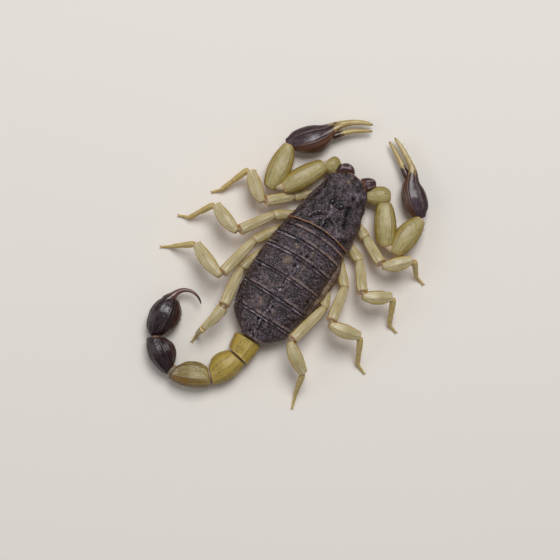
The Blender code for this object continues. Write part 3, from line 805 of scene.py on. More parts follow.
LEG = cuticle("thin leg cuticle", "C8921E", (
    # Painted highlight: the creamy upper faces over the golden sides.
    ("~top", -0.1, 0.4, "B8983A", 1.0), ("~top", 0.48, 0.84, "BCAE84", 0.95),
    ("cloud", 0.5, 0.8, "A68C46", 0.35), ("streak", 0.5, 0.62, "DCD2B0", 0.65),
    ("streak", 0.45, 0.34, "8A7A48", 0.6), ("fleck", 0.55, 0.7, "82703A", 0.4),
    # Pale keel lines, partly painted highlight along the ridges.
    ("keel", 0.2, 0.38, "CCC09A", 0.5), ("along", 0.974, 0.986, "CBA884", 0.7),
    ("along", 0.05, 0.01, "A2845C", 0.6),
), 0.34, grain=0.3, soft=0.12)
SHIN = cuticle("slender leg cuticle", "C8921E", (
    # Painted highlight: the upper faces lighter and creamy over the golden sides.
    ("~top", -0.2, 0.3, "C0A044", 1.0), ("~top", 0.55, 0.95, "C6B27A", 0.8),
    ("cloud", 0.5, 0.8, "AC8E3E", 0.4), ("streak", 0.5, 0.64, "DCCE9E", 0.5),
    ("streak", 0.45, 0.33, "8E7A3C", 0.5), ("fleck", 0.55, 0.7, "82703A", 0.4),
    ("along", 0.9, 1.0, "B98A3A", 0.5),
), 0.36, grain=0.3, soft=0.12)
TAWNY = cuticle("half-tanned cuticle", "8A6420", (
    # Painted sheen: the paler olive-cream band along the top of the ring.
    ("~side", -0.5, -0.28, "8A743C", 1.0), ("~side", -0.3, 0.1, "9C8E58", 0.85),
    ("~side", 0.45, 0.75, "86702E", 1.0), ("along", 0.5, 0.1, "94803A", 0.75),
    ("along", 0.5, 1.0, "4E3420", 0.3), ("cloud", 0.5, 0.8, "74582A", 0.35),
    ("streak", 0.5, 0.66, "C0B498", 0.4), ("streak", 0.46, 0.32, "5E4418", 0.6),
    ("fleck", 0.53, 0.7, "5C4620", 0.4), ("keel", 0.12, 0.4, "24140A", 0.9),
    ("along", 0.92, 1.0, "4A382C", 0.8),
), 0.44, soft=0.06)
BROWN = cuticle("tanned brown cuticle", "260C06", (
    ("~top", -0.2, 0.9, "1E0C11", 1.0), ("~side", 0.3, 0.85, "3A170A", 0.9),
    ("cloud", 0.5, 0.8, "38222A", 0.4), ("streak", 0.5, 0.64, "4C3840", 0.5),
    ("streak", 0.46, 0.34, "180B0B", 0.6), ("fleck", 0.55, 0.7, "5C4B50", 0.4),
    ("keel", 0.2, 0.5, "65534F", 0.45), ("along", 0.975, 1.0, "5A3C2E", 0.5),
), 0.27, grain=0.35, bump=0.9)


# Tail: five rings, each a barrel with lengthwise keels of small beads. The first is mostly
# hidden, the first three are olive, the fourth shades into brown, and the fifth is dark.
BARREL_STEPS = (
    0.0, 0.012, 0.04, 0.09, 0.16, 0.25, 0.36, 0.48, 0.6, 0.71, 0.81, 0.88, 0.93, 0.96, 0.985, 1.0,
)
BARREL_ENDS = {0.0: 0.84, 0.012: 0.97, 1.0: 0.84}


def barrel(first, last, peak, swell=1.0, collar=0.03, blunt=0.0):
    """Sizes along a swollen tube from its first to its last width, with a collar at its far end and
    its near end rounded off by a blunt share."""
    form = []
    for share in BARREL_STEPS:
        if share < peak:
            size = first + (1 - first) * math.sin(math.pi / 2 * share / peak) ** swell
        else:
            size = last + (1 - last) * math.cos(math.pi / 2 * (share - peak) / (1 - peak)) ** swell
        size *= 1 - blunt * max(0, 1 - share / 0.2) ** 2
        size *= BARREL_ENDS.get(share, 1 + collar if share in (0.96, 0.985) else 1)
        form.append((share, size, min(size, 1)))
    return form


# For each ring: its material and slot, its first and last width, the place of the fullest, and
# how squarely it swells; then its keels in degrees round from the top with the inside of the
# curl positive, their height, their number of beads, and where its top is hollowed.
TAIL_RINGS = {
    1: (OLIVE, "pale_shell", (0.86, 0.95, 0.6, 1.0),
        (-100, -56, -14, 14, 56, 100), 0.05, 12, (0, 12, 0.08)),
    2: (OLIVE, "pale_shell", (1.16, 0.86, 0.4, 1.0, 0.03, 0.2),
        (-150, -104, -52, -20, 20, 52, 104, 150), 0.07, 15, (0, 12, 0.2)),
    3: (OLIVE, "pale_shell", (0.72, 0.62, 0.5, 0.85),
        (-150, -104, -36, -9, 24, 52, 84, 122, 160), 0.08, 24, (24, 26, 0.06)),
    4: (TAWNY, "amber_shell", (0.72, 0.5, 0.45, 0.85),
        (-150, -84, -62, -46, -17, 46, 66, 110, 150), 0.1, 24, (14, 24, 0.32)),
    5: (BROWN, "brown_shell", (0.34, 0.62, 0.58, 0.9),
        (-150, -100, -64, -38, -12, 14, 40, 70, 112, 155), 0.1, 22, (0, 1, 0)),
}


def ring_rule(places, height, beads, hollow, radius, seed):
    def rule(along, turn, place):
        fade = between(along, 0.03, 0.16, 0.86, 0.96)
        line = keels(turn, places, 4.5) * fade
        beading = 0.5 + 0.5 * np.cos(along * beads * 2 * math.pi + turn / 30)
        lift = height * line * (0.3 + 0.7 * beading) - 0.32 * radius * facets(turn, places, 0.12) * fade
        lift -= hollow[2] * keels(turn, (hollow[0],), hollow[1]) * fade
        lift += 0.03 * (grains(place, 0.36, seed) - 0.3) + 0.04 * ripple(place, 1.0, seed)
        return lift, line * beading

    return rule


near = point(0, 25, 3)
tail_spines = []
for number, (material, slot, sizes, places, height, beads, hollow) in TAIL_RINGS.items():
    spine = spine_of(f"tail_{number}", near)
    near = Vector(spine.centres[-1])
    tail_spines.append(spine)
    ring = hollow_tube(f"tail_ring_{number}", spine, barrel(*sizes), 20, 3, 2.3)
    sculpt(ring, ring_rule(places, height, beads, hollow, spine.width, number * 3.0))
    settle(ring, material, slot, f"tail_{number}")


# Telson: a glossy dark poison bulb with shallow lengthwise ridges, drawn out into the curved
# sting, which is a fine hard hook with a darker point.
BULB_FORM = (
    (0.0, 0.26), (0.02, 0.38), (0.06, 0.5), (0.12, 0.66), (0.22, 0.85), (0.36, 0.98), (0.52, 1.02),
    (0.66, 0.98), (0.78, 0.86), (0.87, 0.7), (0.94, 0.52), (0.98, 0.42), (1.0, 0.3),
)
BULB_KEELS = (-150, -104, -72, -50, -28, 14, 110, 155)


def bulb_rule(along, turn, place):
    fade = between(along, 0.04, 0.16, 0.84, 0.97)
    line = keels(turn, BULB_KEELS, 5) * fade
    lift = 0.1 * line - 1.2 * facets(turn, BULB_KEELS, 0.1) * fade - 0.1 * keels(turn, (-33,), 4) * fade
    return lift + 0.05 * ripple(place, 0.9, 7.0) + 0.03 * grains(place, 0.34, 2.0), 0.7 * line


spine = spine_of("telson_vesicle", near)
tail_spines.append(spine)
bulb = hollow_tube("telson_bulb", spine, [(s, w * 1.05, w) for s, w in BULB_FORM], 20, 3, 2.2)
sculpt(bulb, bulb_rule)
settle(bulb, BROWN, "brown_shell", "telson_vesicle")

spine = spine_of("telson_sting", Vector(spine.centres[-1]))
STING_FORM = (
    (-0.3, 2.2), (-0.22, 2.1), (-0.12, 1.75), (-0.04, 1.4), (0.04, 1.12), (0.12, 0.96), (0.25, 0.8),
    (0.4, 0.66), (0.6, 0.52), (0.8, 0.4), (0.92, 0.3), (1.0, 0.14),
)
sting = hollow_tube("sting", spine, STING_FORM, 14, 2, 2.0)
sculpt(sting, lambda along, turn, place: (0.015 * ripple(place, 0.6, 4.0), along * 0))
STING = cuticle("red-brown sting", "4A2A22", (
    # Painted highlight: lighter on top.
    ("~top", -0.2, 0.8, "6E4E48", 0.8), ("cloud", 0.5, 0.8, "583830", 0.5),
    ("along", 0.02, -0.2, "3A2A2C", 0.9), ("along", 0.6, 0.95, "1A0C0A", 0.9),
), 0.2, grain=0.5, bump=0.15)
settle(sting, STING, "brown_shell", "telson_sting")


# Pincer arms: a stout rounded first joint, two keeled barrels, and a dark ovoid hand that is
# drawn out into one fixed finger, with a hinged one beside it. The fingers are pale and toothed.
ARM_FORM = {
    "trochanter": (
        (0.0, 0.66), (0.05, 0.9), (0.15, 1.08), (0.3, 1.24), (0.48, 1.36), (0.64, 1.38), (0.77, 1.28),
        (0.87, 1.1), (0.94, 0.88), (1.0, 0.55),
    ),
    "femur": (
        (0.0, 0.48), (0.015, 0.62), (0.05, 0.74), (0.12, 0.86), (0.25, 0.99), (0.4, 1.08),
        (0.56, 1.11), (0.7, 1.07), (0.82, 0.95), (0.9, 0.82), (0.96, 0.7), (1.0, 0.5),
    ),
    "patella": (
        (0.0, 0.44), (0.02, 0.56), (0.06, 0.69), (0.14, 0.87), (0.27, 1.05), (0.42, 1.16),
        (0.58, 1.14), (0.74, 0.98), (0.86, 0.78), (0.94, 0.62), (0.98, 0.55), (1.0, 0.42),
    ),
}
FINGER_FORM = (
    (-0.34, 0.9), (-0.25, 1.25), (-0.12, 1.4), (0.0, 1.3), (0.12, 1.14), (0.28, 1.02), (0.45, 0.98),
    (0.65, 0.95), (0.8, 1.0), (0.92, 1.0), (0.98, 0.8), (1.0, 0.4),
)
HAND_STEPS = (
    -0.04, -0.03, -0.01, 0.05, 0.13, 0.2, 0.28, 0.36, 0.42, 0.47, 0.52, 0.57, 0.62, 0.68, 0.74, 0.8,
    0.86, 0.92, 0.97, 1.0,
)
ARM_STRETCH = {"trochanter": (-0.3, 1.36), "femur": (-0.02, 1.03), "patella": (-0.04, 1.1)}
ARM_GIRTH = {"left": 1.08, "right": 1.1}
ARM_KEELS = (-150, -100, -66, -34, 30, 62, 98, 150)
HAND_KEELS = (-150, -112, -84, -58, -27, 31, 62, 92, 124)


def arm_rule(radius, seed):
    def rule(along, turn, place):
        fade = between(along, 0.05, 0.18, 0.84, 0.95)
        line = keels(turn, ARM_KEELS, 5) * fade
        beading = 0.5 + 0.5 * np.cos(along * 150)
        lift = 0.06 * line * beading - 0.18 * radius * facets(turn, ARM_KEELS, 0.12) * fade
        lift += 0.05 * ripple(place, 0.9, seed) + 0.02 * grains(place, 0.3, seed)
        return lift, line * beading * 0.9

    return rule


def hand_rule(palm_end, radius, bulge, seed):
    """A palm of flat facets between crests, swollen on its inner underside by bulge mm."""
    def rule(along, turn, place):
        palm = between(along, 0.02, 0.1, palm_end - 0.1, palm_end + 0.08)
        line = keels(turn, HAND_KEELS, 5) * palm
        crest = keels(turn, (-27, 31), 4.5) * palm
        lift = 0.07 * line + 0.1 * crest - 0.9 * radius * facets(turn, HAND_KEELS, 0.14) * palm
        lift += bulge * keels(turn, (88,), 42) * np.sin(math.pi * np.clip(along / palm_end, 0, 1)) ** 2
        return lift + 0.04 * ripple(place, 1.0, seed) * palm, 0.45 * line + 0.5 * crest

    return rule


def finger_rule(inner, seed):
    """Small teeth in a row along the finger's inner edge, with a larger one now and then."""
    def rule(along, turn, place):
        row = keels(turn, (inner,), 16) * between(along, 0.12, 0.2, 0.93, 0.98)
        teeth = 0.5 + 0.5 * np.cos(along * 26 * 2 * math.pi)
        big = 0.5 + 0.5 * np.cos(along * 7 * 2 * math.pi)
        return row * (0.05 * teeth + 0.05 * big ** 6) + 0.01 * ripple(place, 0.5, seed), row * teeth * 0.7

    return rule


HAND = cuticle("tanned hand cuticle", "3A1808", (
    # Purple-brown top with a violet-grey painted highlight on its upper face.
    ("~top", -0.1, 0.6, "361E22", 1.0), ("~top", 0.8, 1.05, "48343C", 0.7),
    ("~side", 0.34, 0.7, "5C3204", 0.95), ("streak", 0.52, 0.62, "5C4C54", 0.6),
    ("streak", 0.46, 0.35, "170B0C", 0.7), ("fleck", 0.56, 0.7, "64565E", 0.4),
    # Pale keel and crest lines, partly painted highlight along the ridges.
    ("keel", 0.2, 0.5, "776860", 0.6), ("~along", 0.42, 0.5, "5A3216", 0.7),
    ("~along", 0.47, 0.58, "B29A62", 1.0), ("~along", 0.62, 0.85, "D0BE8A", 0.5),
    ("along", 0.95, 1.0, "8A5A34", 0.7),
), 0.3, grain=0.4, bump=0.4)
FINGER = cuticle("untanned finger cuticle", "8A6A2C", (
    # Painted highlight: lighter on top.
    ("~top", -0.6, 0.5, "B8A064", 1.0), ("cloud", 0.5, 0.8, "D2C08C", 0.5),
    ("keel", 0.1, 0.4, "5A2A14", 0.9), ("~along", 0.22, 0.04, "3A1E12", 1.0),
    ("along", 0.93, 1.0, "7E4A28", 0.8),
), 0.26, soft=0.12)

HAND_BULGE = {"left": 1.3, "right": 0.35}
arm_ends = {}
for side, sign in SIDES:
    near = point(sign * 3, -3, 3)
    for part, reach in ARM_STRETCH.items():
        spine = spine_of(f"arm_{side}_{part}", near)
        near = Vector(spine.centres[-1])
        spine = spine.reaching(*reach)
        arm_ends[side, part] = spine
        form = [(share, size * ARM_GIRTH[side], size) for share, size in ARM_FORM[part]]
        segment = hollow_tube(f"arm_{side}_{part}_shell", spine, form, 18, 3, 2.2)
        sculpt(segment, arm_rule(spine.width, sign * len(part)), sign)
        settle(segment, PALE, "pale_shell", f"arm_{side}_{part}")
    spine = spine_of(f"arm_{side}_hand", near)
    arm_ends[side, "hand"] = spine
    palm_end = spine.stops[5]
    form = [(share, 1.08 + 0.5 * max(0, 1 - share / 0.2) ** 1.5, 1.04) for share in HAND_STEPS]
    form[0], form[-1] = (-0.04, 1.1, 0.8), (1.0, 0.5, 0.5)
    hand = hollow_tube(f"arm_{side}_hand_shell", spine, form, 20, 3, 2.1, own_size=True)
    sculpt(hand, hand_rule(palm_end, spine.width, HAND_BULGE[side], sign * 5.0), sign)
    settle(hand, HAND, "brown_shell", f"arm_{side}_hand")
    spine = spine_of(f"arm_{side}_movable_finger", Vector(spine.centres[4]))
    finger = hollow_tube(f"arm_{side}_movable_finger_shell", spine, FINGER_FORM, 14, 2, 2.0, True)
    sculpt(finger, finger_rule(-90, sign * 2.0), sign)
    settle(finger, FINGER, "amber_shell", f"arm_{side}_movable_finger")


# Legs: eight, each of a short first joint and a long keeled one, a broad flat one, two slim
# ones and a foot with a pair of hooked claws. Their upper faces are creamy, their edges golden.
LEG_FORM = {
    "trochanter": (
        (0.0, 0.62), (0.06, 0.78), (0.2, 0.94), (0.45, 1.08), (0.7, 1.14), (0.85, 1.14), (0.93, 1.1),
        (0.98, 1.0), (1.0, 0.76),
    ),
    "femur": (
        (0.0, 0.52), (0.015, 0.63), (0.05, 0.73), (0.12, 0.84), (0.28, 0.96), (0.5, 1.02),
        (0.72, 1.05), (0.86, 1.04), (0.93, 1.02), (0.965, 1.04), (0.985, 1.04), (1.0, 0.87),
    ),
    "patella": (
        (0.0, 0.39), (0.02, 0.49), (0.07, 0.60), (0.15, 0.75), (0.26, 0.93), (0.4, 1.09), (0.55, 1.11),
        (0.7, 1.03), (0.83, 0.88), (0.91, 0.75), (0.95, 0.70), (0.985, 0.68), (1.0, 0.51),
    ),
    "tibia": (
        (0.0, 0.62), (0.03, 0.79), (0.1, 0.97), (0.25, 1.09), (0.5, 1.07), (0.75, 0.99), (0.9, 0.92),
        (0.95, 0.95), (0.985, 0.95), (1.0, 0.75),
    ),
    "foot": (
        (0.0, 0.53), (0.04, 0.65), (0.15, 0.76), (0.4, 0.77), (0.65, 0.70), (0.85, 0.60), (0.96, 0.48),
        (1.0, 0.33),
    ),
    "straight patella": (
        (0.0, 0.70), (0.03, 0.81), (0.1, 0.88), (0.25, 0.89), (0.45, 0.82), (0.65, 0.72), (0.8, 0.63),
        (0.95, 0.54), (1.0, 0.44),
    ),
    "straight tibia": (
        (0.0, 0.92), (0.03, 1.1), (0.12, 1.17), (0.3, 1.17), (0.5, 1.12), (0.75, 1.03), (0.95, 0.94),
        (1.0, 0.79),
    ),
}
STRAIGHT_LEG = "leg_left_4"  # held out flat, so that its segments taper in one line


def leg_rule(places, height, seed):
    def rule(along, turn, place):
        fade = between(along, 0.06, 0.2, 0.86, 0.94)
        line = keels(turn, places, 8) * fade
        lift = height * line - 0.4 * facets(turn, places, 0.14) * fade
        lift += 0.03 * ripple(place, 0.7, seed) + 0.012 * grains(place, 0.26, seed)
        return lift, line * 0.4

    return rule


CLAW_HALF = 0.11
CLAW_LENGTH = 0.17  # of each of its four lengths
CLAW_LOWEST = 0.08


def claw(spine, lean):
    """One hooked claw at the end of a foot: four short lengths, each turned further down."""
    tip, facing, _ = spine.at(0.94)
    side, up = cross_axes(facing)
    reach = (facing + side * 0.35 * lean).normalized()
    centres = [tip + side * 0.1 * lean]
    for drop in (0.35, 0.1, -0.25, -0.6):
        centres.append(centres[-1] + (reach + up * drop).normalized() * CLAW_LENGTH)
    lowest = min(centre.z for centre in centres)
    if lowest < CLAW_LOWEST:
        centres = [centre + Vector((0, 0, CLAW_LOWEST - lowest)) for centre in centres]
    path = Spine(centres, [reach] * len(centres), [(CLAW_HALF, CLAW_HALF)] * len(centres))
    return hollow_tube("claw", path, ((0, 1), (0.35, 0.9), (0.7, 0.6), (1, 0.2)), 8, 1, 2.0)


leg_spines = {}
for side, sign in SIDES:
    for pair in (1, 2, 3, 4):
        leg = f"leg_{side}_{pair}"
        seed = sign * pair * 2.0
        spine = spine_of(f"{leg}_femur", point(0, 4 * pair, 2))
        leg_spines[leg, "femur"] = spine
        hip = hollow_tube("hip", spine.stretch(-0.04, spine.stops[2] - 0.01),
                          LEG_FORM["trochanter"], 14, 2, 2.2)
        sculpt(hip, leg_rule((-60, 0, 60), 0.05, seed))
        thigh = hollow_tube("thigh", spine.stretch(spine.stops[2] - 0.02, 1.0),
                            LEG_FORM["femur"], 16, 2, 2.5)
        sculpt(thigh, leg_rule((-128, -50, -8, 50, 128), 0.1, seed))
        upper = joined(f"{leg}_femur_shell", [thigh, hip])
        settle(upper, LEG, "pale_shell", f"{leg}_femur")
        spine = spine_of(f"{leg}_patella", Vector(spine.centres[-1])).reaching(-0.07, 1.05)
        leg_spines[leg, "patella"] = spine
        stance = "straight " if leg == STRAIGHT_LEG else ""
        knee = hollow_tube(f"{leg}_patella_shell", spine, LEG_FORM[stance + "patella"],
                           16, 2, 2.4)
        sculpt(knee, leg_rule((-120, -52, 4, 56, 120), 0.08, seed + 0.5))
        settle(knee, LEG, "pale_shell", f"{leg}_patella")
        spine = spine_of(f"{leg}_tarsus", Vector(spine.centres[-1]))
        leg_spines[leg, "tarsus"] = spine
        heel = spine.stops[3]
        tibia = LEG_FORM[stance + "tibia"]
        slim = [(share, width * 0.84) for share, width in tibia]
        path = spine.stretch(-0.12 if stance else -0.04, heel * 0.52)
        shin = hollow_tube("shin", path, tibia, 12, 2, 2.3)
        sculpt(shin, leg_rule((-60, 0, 60), 0.04, seed))
        ankle = hollow_tube("ankle", spine.stretch(heel * 0.5, heel), slim, 12, 2, 2.3)
        sculpt(ankle, leg_rule((-60, 60), 0.03, seed))
        foot = hollow_tube("foot", spine.stretch(heel - 0.02, 0.96), LEG_FORM["foot"], 12, 2, 2.2)
        sculpt(foot, leg_rule((0,), 0.02, seed))
        lower = [shin, ankle, foot]
        for lean in (-1, 1):
            hook = claw(spine, lean)
            even_mark(hook, 1.0)
            lower.append(hook)
        lower = joined(f"{leg}_tarsus_shell", lower)
        settle(lower, SHIN, "pale_shell", f"{leg}_tarsus")


# Chelicerae: a pair of stout jaws in front of the shield, each a glossy red-brown bulb with two
# dark hooked fingers at its tip that meet like small pincers under the front edge.
JAW = cuticle("glossy red-brown cuticle", "220C06", (
    # Painted highlight: the upper face lighter, with a violet-grey top.
    ("~top", -0.1, 0.8, "3A1C1C", 1.0), ("~top", 0.8, 1.1, "46303A", 0.6),
    # Pale lines on the two ridges: painted highlight.
    ("cloud", 0.5, 0.75, "4A3238", 0.4), ("keel", 0.1, 0.25, "8A7470", 0.7),
    ("along", 0.05, 0.02, "8E5E36", 0.8), ("along", 0.9, 1.0, "120606", 0.9),
), 0.34, grain=0.45, bump=0.7)

# The widths and heights along a jaw, as shares of its half width, and where each jaw starts on
# the shield's front edge, which way it points, its length and its half width.
JAW_FORM = (
    (0.0, 1.0, 0.62), (0.05, 1.03, 0.74), (0.2, 1.02, 0.86), (0.4, 0.98, 0.9), (0.58, 0.9, 0.86),
    (0.74, 0.78, 0.78), (0.87, 0.62, 0.64), (0.96, 0.42, 0.46), (1.0, 0.28, 0.3),
)
JAWS = {"left": ((1.95, -6.5), (0.5, -0.87), 2.1, 1.95), "right": ((-2.6, -6.3), (-0.7, -0.71), 2.9, 1.5)}
JAW_HEIGHT = 4.1
FANG_HALF = (0.3, 0.24)


def jaw_rule(along, turn, place):
    # The two ridges are raised, and their mark is painted pale by the material as a painted highlight.
    ridge = keels(turn, (-24, 30), 9) * between(along, 0.08, 0.25, 0.75, 0.95)
    rim = 1 - smooth(along, 0.02, 0.06)
    return 0.1 * ridge + 0.04 * rim + 0.04 * ripple(place, 0.9, 4.0), 0.6 * ridge


for side, (start, way, long, half) in JAWS.items():
    root = point(*start, JAW_HEIGHT)
    spine = rod(root, root + Vector((*way, -0.25)).normalized() * long, half, half)
    parts = [hollow_tube("jaw", spine, JAW_FORM, 20, 3, 2.3)]
    for lean, drop in ((-0.7, 0.3), (0.55, 0.75)):
        tip, facing, _ = spine.at(0.8)
        across, up = cross_axes(facing)
        points = [tip + across * lean * 0.5 - up * 0.5 * drop]
        for turn_in in (0.3, -0.1, -0.6):
            ahead = facing + across * lean * turn_in - up * (0.8 + drop)
            points.append(points[-1] + ahead.normalized() * 0.3)
        path = Spine(points, [facing] * 4, [FANG_HALF] * 4)
        parts.append(hollow_tube("fang", path, ((0, 1), (0.3, 0.95), (0.7, 0.6), (1, 0.15)), 8, 2))
    sculpt(parts[0], jaw_rule)
    for part in parts[1:]:
        limb = read(part.data.attributes["limb"].data, "vector")
        write_mark(part.data, "limb", limb * (0, 1, 1) + (1, 0, 0))
        even_mark(part, 0.0)
    jaw = joined(f"chelicera_{side}_shell", parts)
    settle(jaw, JAW, "brown_shell", f"chelicera_{side}")


# Eyes: a pair of round lenses on the mound, each a clear black dome in a raised rim of shell,
# and three tiny lenses in a row at each front corner of the shield.
def eye_material():
    material, tree = blank_material("clear black lens")
    along = limb_readings(tree)["along"]
    dome = add(tree, "ShaderNodeMapRange", {"Value": along, "From Min": 0.4, "From Max": 0.47})
    dome = dome.outputs["Result"]
    colours = {"Factor": dome, 6: linear("2A2022"), 7: linear("050406")}
    polish = add(tree, "ShaderNodeMapRange", {"Value": dome, "To Min": 0.4, "To Max": 0.06})
    end_in_shader(tree, {
        "Base Color": add(tree, "ShaderNodeMix", colours, data_type="RGBA").outputs[2],
        "Roughness": polish.outputs["Result"], "IOR": 1.52, "Coat Weight": 0.8, "Coat Roughness": 0.04})
    return material


LENS = eye_material()
EYE_RADIUS = 0.68
SIDE_EYE_RADIUS = 0.17
SIDE_EYES = ((0.045, 0.93), (0.075, 0.955), (0.105, 0.965))  # shares along and across the shield
LENS_FORM = (
    (0.0, 1.3), (0.28, 1.26), (0.38, 1.16), (0.44, 1.0), (0.5, 0.97), (0.64, 0.89), (0.8, 0.68),
    (0.92, 0.42), (1.0, 0.12),
)


def lens(name, middle, facing, radius):
    reach = Vector(facing).normalized() * radius
    path = rod(middle - reach * 0.7, middle + reach, radius, radius)
    return hollow_tube(name, path, LENS_FORM, 12, 2, 2.0)


def on_shield(x, y):
    """The shield's upper surface over a place in mm around the eye tubercle."""
    points = read(shield.data.vertices, "co") / MM - np.array(ORIGIN)
    near = points[np.hypot(points[:, 0] - x, points[:, 1] - y) < 0.25]
    return ORIGIN + Vector((x, y, near[:, 2].max()))


for side, sign in SIDES:
    across, along, _ = middle_of(f"eye_{side}") / MM - ORIGIN
    middle = on_shield(across + sign * 0.15, along) + Vector((0, 0, 0.12))
    eye = lens(f"eye_{side}_lens", middle, (sign * 0.45, -0.15, 0.88), EYE_RADIUS)
    settle(eye, LENS, "eye_lens", f"eye_{side}")
row = []
for sign in (1, -1):
    for along, across in SIDE_EYES:
        here = shield_place(np.array([sign * across]), np.array([along]))[0]
        facing = (sign * 0.8, -0.5, 0.4)
        row.append(lens("small_lens", ORIGIN + Vector(here), facing, SIDE_EYE_RADIUS))
side_eyes = joined("side_eyes", row)
settle(side_eyes, LENS, "eye_lens")


# Hips: ten flat wedges of pale shell under the body, one to each leg and arm, packed side by
# side from a small breast plate out to the first joints.
COXA_FORM = (
    (0.0, 0.5), (0.03, 0.7), (0.12, 0.84), (0.35, 0.96), (0.65, 1.0), (0.85, 0.92), (0.95, 0.8),
    (1.0, 0.55),
)
HIP_ROOTS = {1: (-0.2, 1.0), 2: (2.3, 1.05), 3: (5.1, 1.2), 4: (8.0, 1.35)}
HIP_HEIGHT = 1.85
HIP_THICK = 0.62


def wedge(start, end, half, thick):
    made = hollow_tube("wedge", rod(start, end, half, thick), COXA_FORM, 14, 2, 2.8)
    return sculpt(made, leg_rule((-70, 0, 70), 0.05, half + start.x))


wedges = []
for side, sign in SIDES:
    for pair, (y, half) in HIP_ROOTS.items():
        start = point(sign * 0.95, y, HIP_HEIGHT)
        end = leg_spines[f"leg_{side}_{pair}", "femur"].at(0.01)[0]
        wedges.append(wedge(start, end, half, HIP_THICK))
    end = arm_ends[side, "trochanter"].at(0.12)[0]
    wedges.append(wedge(point(sign * 1.6, -1.4, 2.3), end, 1.15, 0.9))
wedges.append(wedge(point(0, 6.2, 1.7), point(0, 10.4, 1.5), 0.8, 0.4))
coxae = joined("hip_wedges", wedges)
settle(coxae, PALE, "pale_shell", "coxae")


# Combs: a feeler under each side of the belly, a jointed stem with a row of flat soft teeth
# along its rear edge.
TEETH = 17
STEM_HEIGHT = 0.58
STEM_HALF = (0.55, 0.2)
TOOTH_HALF = (0.17, 0.12)
for side, sign in SIDES:
    low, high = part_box(f"comb_{side}")
    inner, outer = (low.x, high.x) if sign > 0 else (high.x, low.x)
    start = Vector((inner / MM + 0.5 * sign, low.y / MM + 0.75, STEM_HEIGHT))
    end = Vector((outer / MM - 0.5 * sign, high.y / MM - 1.7, STEM_HEIGHT))
    stem = rod(start, end, *STEM_HALF)
    parts = [hollow_tube("stem", stem, (*COXA_FORM[:-2], (1, 0.45, 0.6)), 10, 2)]
    for k in range(TEETH):
        root = stem.at(0.04 + 0.93 * k / (TEETH - 1))[0]
        back = Vector((sign * 0.3, 1, 0)).normalized()
        size = 1.25 - 0.35 * k / TEETH
        path = rod(root + back * 0.15, root + back * (0.3 + size), *TOOTH_HALF)
        parts.append(hollow_tube("tooth", path, ((0, 0.8), (0.5, 1), (0.85, 0.9), (1, 0.4)), 8, 1))
    for part in parts:
        even_mark(part, 0.0)
    comb = joined(f"comb_{side}_blade", parts)
    settle(comb, PALE, "pale_shell", f"comb_{side}")


# Flesh: one soft leathery skin under all the plates. It bulges in fine folds at the flanks and
# spans every joint as a short pleated sleeve.
def skin_material():
    material, tree = blank_material("folded leathery membrane")
    where = readings(tree, (("cloud", 1.6, 4, 0.6), ("pores", 0.25, 3, 0.7)), ("mark",))
    fold = add(tree, "ShaderNodeMapRange", {"Value": where["cloud"], "From Min": 0.4, "From Max": 0.62})
    colour = linear("4E3A2C")
    for factor, over in ((fold.outputs["Result"], "8A7258"), (where["mark"], "C2AE90")):
        colours = {"Factor": factor, 6: colour, 7: linear(over)}
        colour = add(tree, "ShaderNodeMix", colours, data_type="RGBA").outputs[2]
    bumps = {"Strength": 0.5, "Distance": 0.06 * MM, "Height": where["pores"]}
    rise = add(tree, "ShaderNodeBump", bumps)
    end_in_shader(tree, {
        "Base Color": colour, "Roughness": 0.46, "IOR": 1.45, "Subsurface Weight": 0.15,
        "Subsurface Radius": (1.0, 0.5, 0.3), "Subsurface Scale": 0.5 * MM,
        "Normal": rise.outputs["Normal"]})
    return material


SKIN_GRID = 0.24
SKIN_UNDER = 0.04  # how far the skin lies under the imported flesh
FLANK_BULGE = 1.5
FLESH = ("prosoma", "flanks", "belly")
copies = []
for name in FLESH:
    copy = bpy.data.objects.new(f"flesh_{name}", nodes[name].data.copy())
    bpy.context.scene.collection.objects.link(copy)
    copies.append(copy)
skin = joined("body_skin", copies)
skin.data.materials.clear()
only(skin)
bpy.ops.object.mode_set(mode="EDIT")
bpy.ops.mesh.select_all(action="SELECT")
bpy.ops.mesh.remove_doubles(threshold=1e-6)
bpy.ops.object.mode_set(mode="OBJECT")
apply_modifier(skin, "REMESH", mode="VOXEL", voxel_size=SKIN_GRID * MM, use_smooth_shade=True)
apply_modifier(skin, "SMOOTH", factor=0.5, iterations=8)
places = read(skin.data.vertices, "co") / MM
normals = read(skin.data.vertex_normals, "vector")
sideways = np.abs(normals[:, 0])
pleats = ripple(places * (1.6, 0.5, 2.6), 1.0, 2.0)
folds = (0.12 * pleats + 0.05 * ripple(places, 0.5, 6.0)) * smooth(sideways, 0.1, 0.5)
folds += 0.03 * ripple(places, 0.6, 8.0) - SKIN_UNDER
behind = places[:, 1] - ORIGIN.y
loose = smooth(-normals[:, 0], 0.2, 0.8) * between(behind, 8, 13, 22, 28)
folds += FLANK_BULGE * loose * (1 + 0.3 * ripple(places, 2.0, 3.0))
moved = (places + normals * folds[:, None]) * MM
skin.data.vertices.foreach_set("co", moved.astype(np.float32).ravel())
even_mark(skin, 0.0)
skin.data.update()

SLEEVE = [(share, 1 - 0.1 * (k % 2)) for k, share in enumerate(np.linspace(0, 1, 9))]


def sleeve(first, second, size=0.8, ends=(0.93, 0.06), paleness=1.0):
    """Pleated skin between the far end of one segment and the near end of the next."""
    (start, face, half), (end, turn, other) = first.at(ends[0]), second.at(ends[1])
    wide = size * min(half[0], other[0] * 1.2), size * min(half[1], other[1] * 1.2)
    points = [start, start.lerp(end, 0.33), start.lerp(end, 0.67), end]
    facings = [face.lerp(turn, k / 3).normalized() for k in range(4)]
    made = hollow_tube("sleeve", Spine(points, facings, [wide] * 4), SLEEVE, 12, 1, 2.2)
    even_mark(made, paleness)
    return made


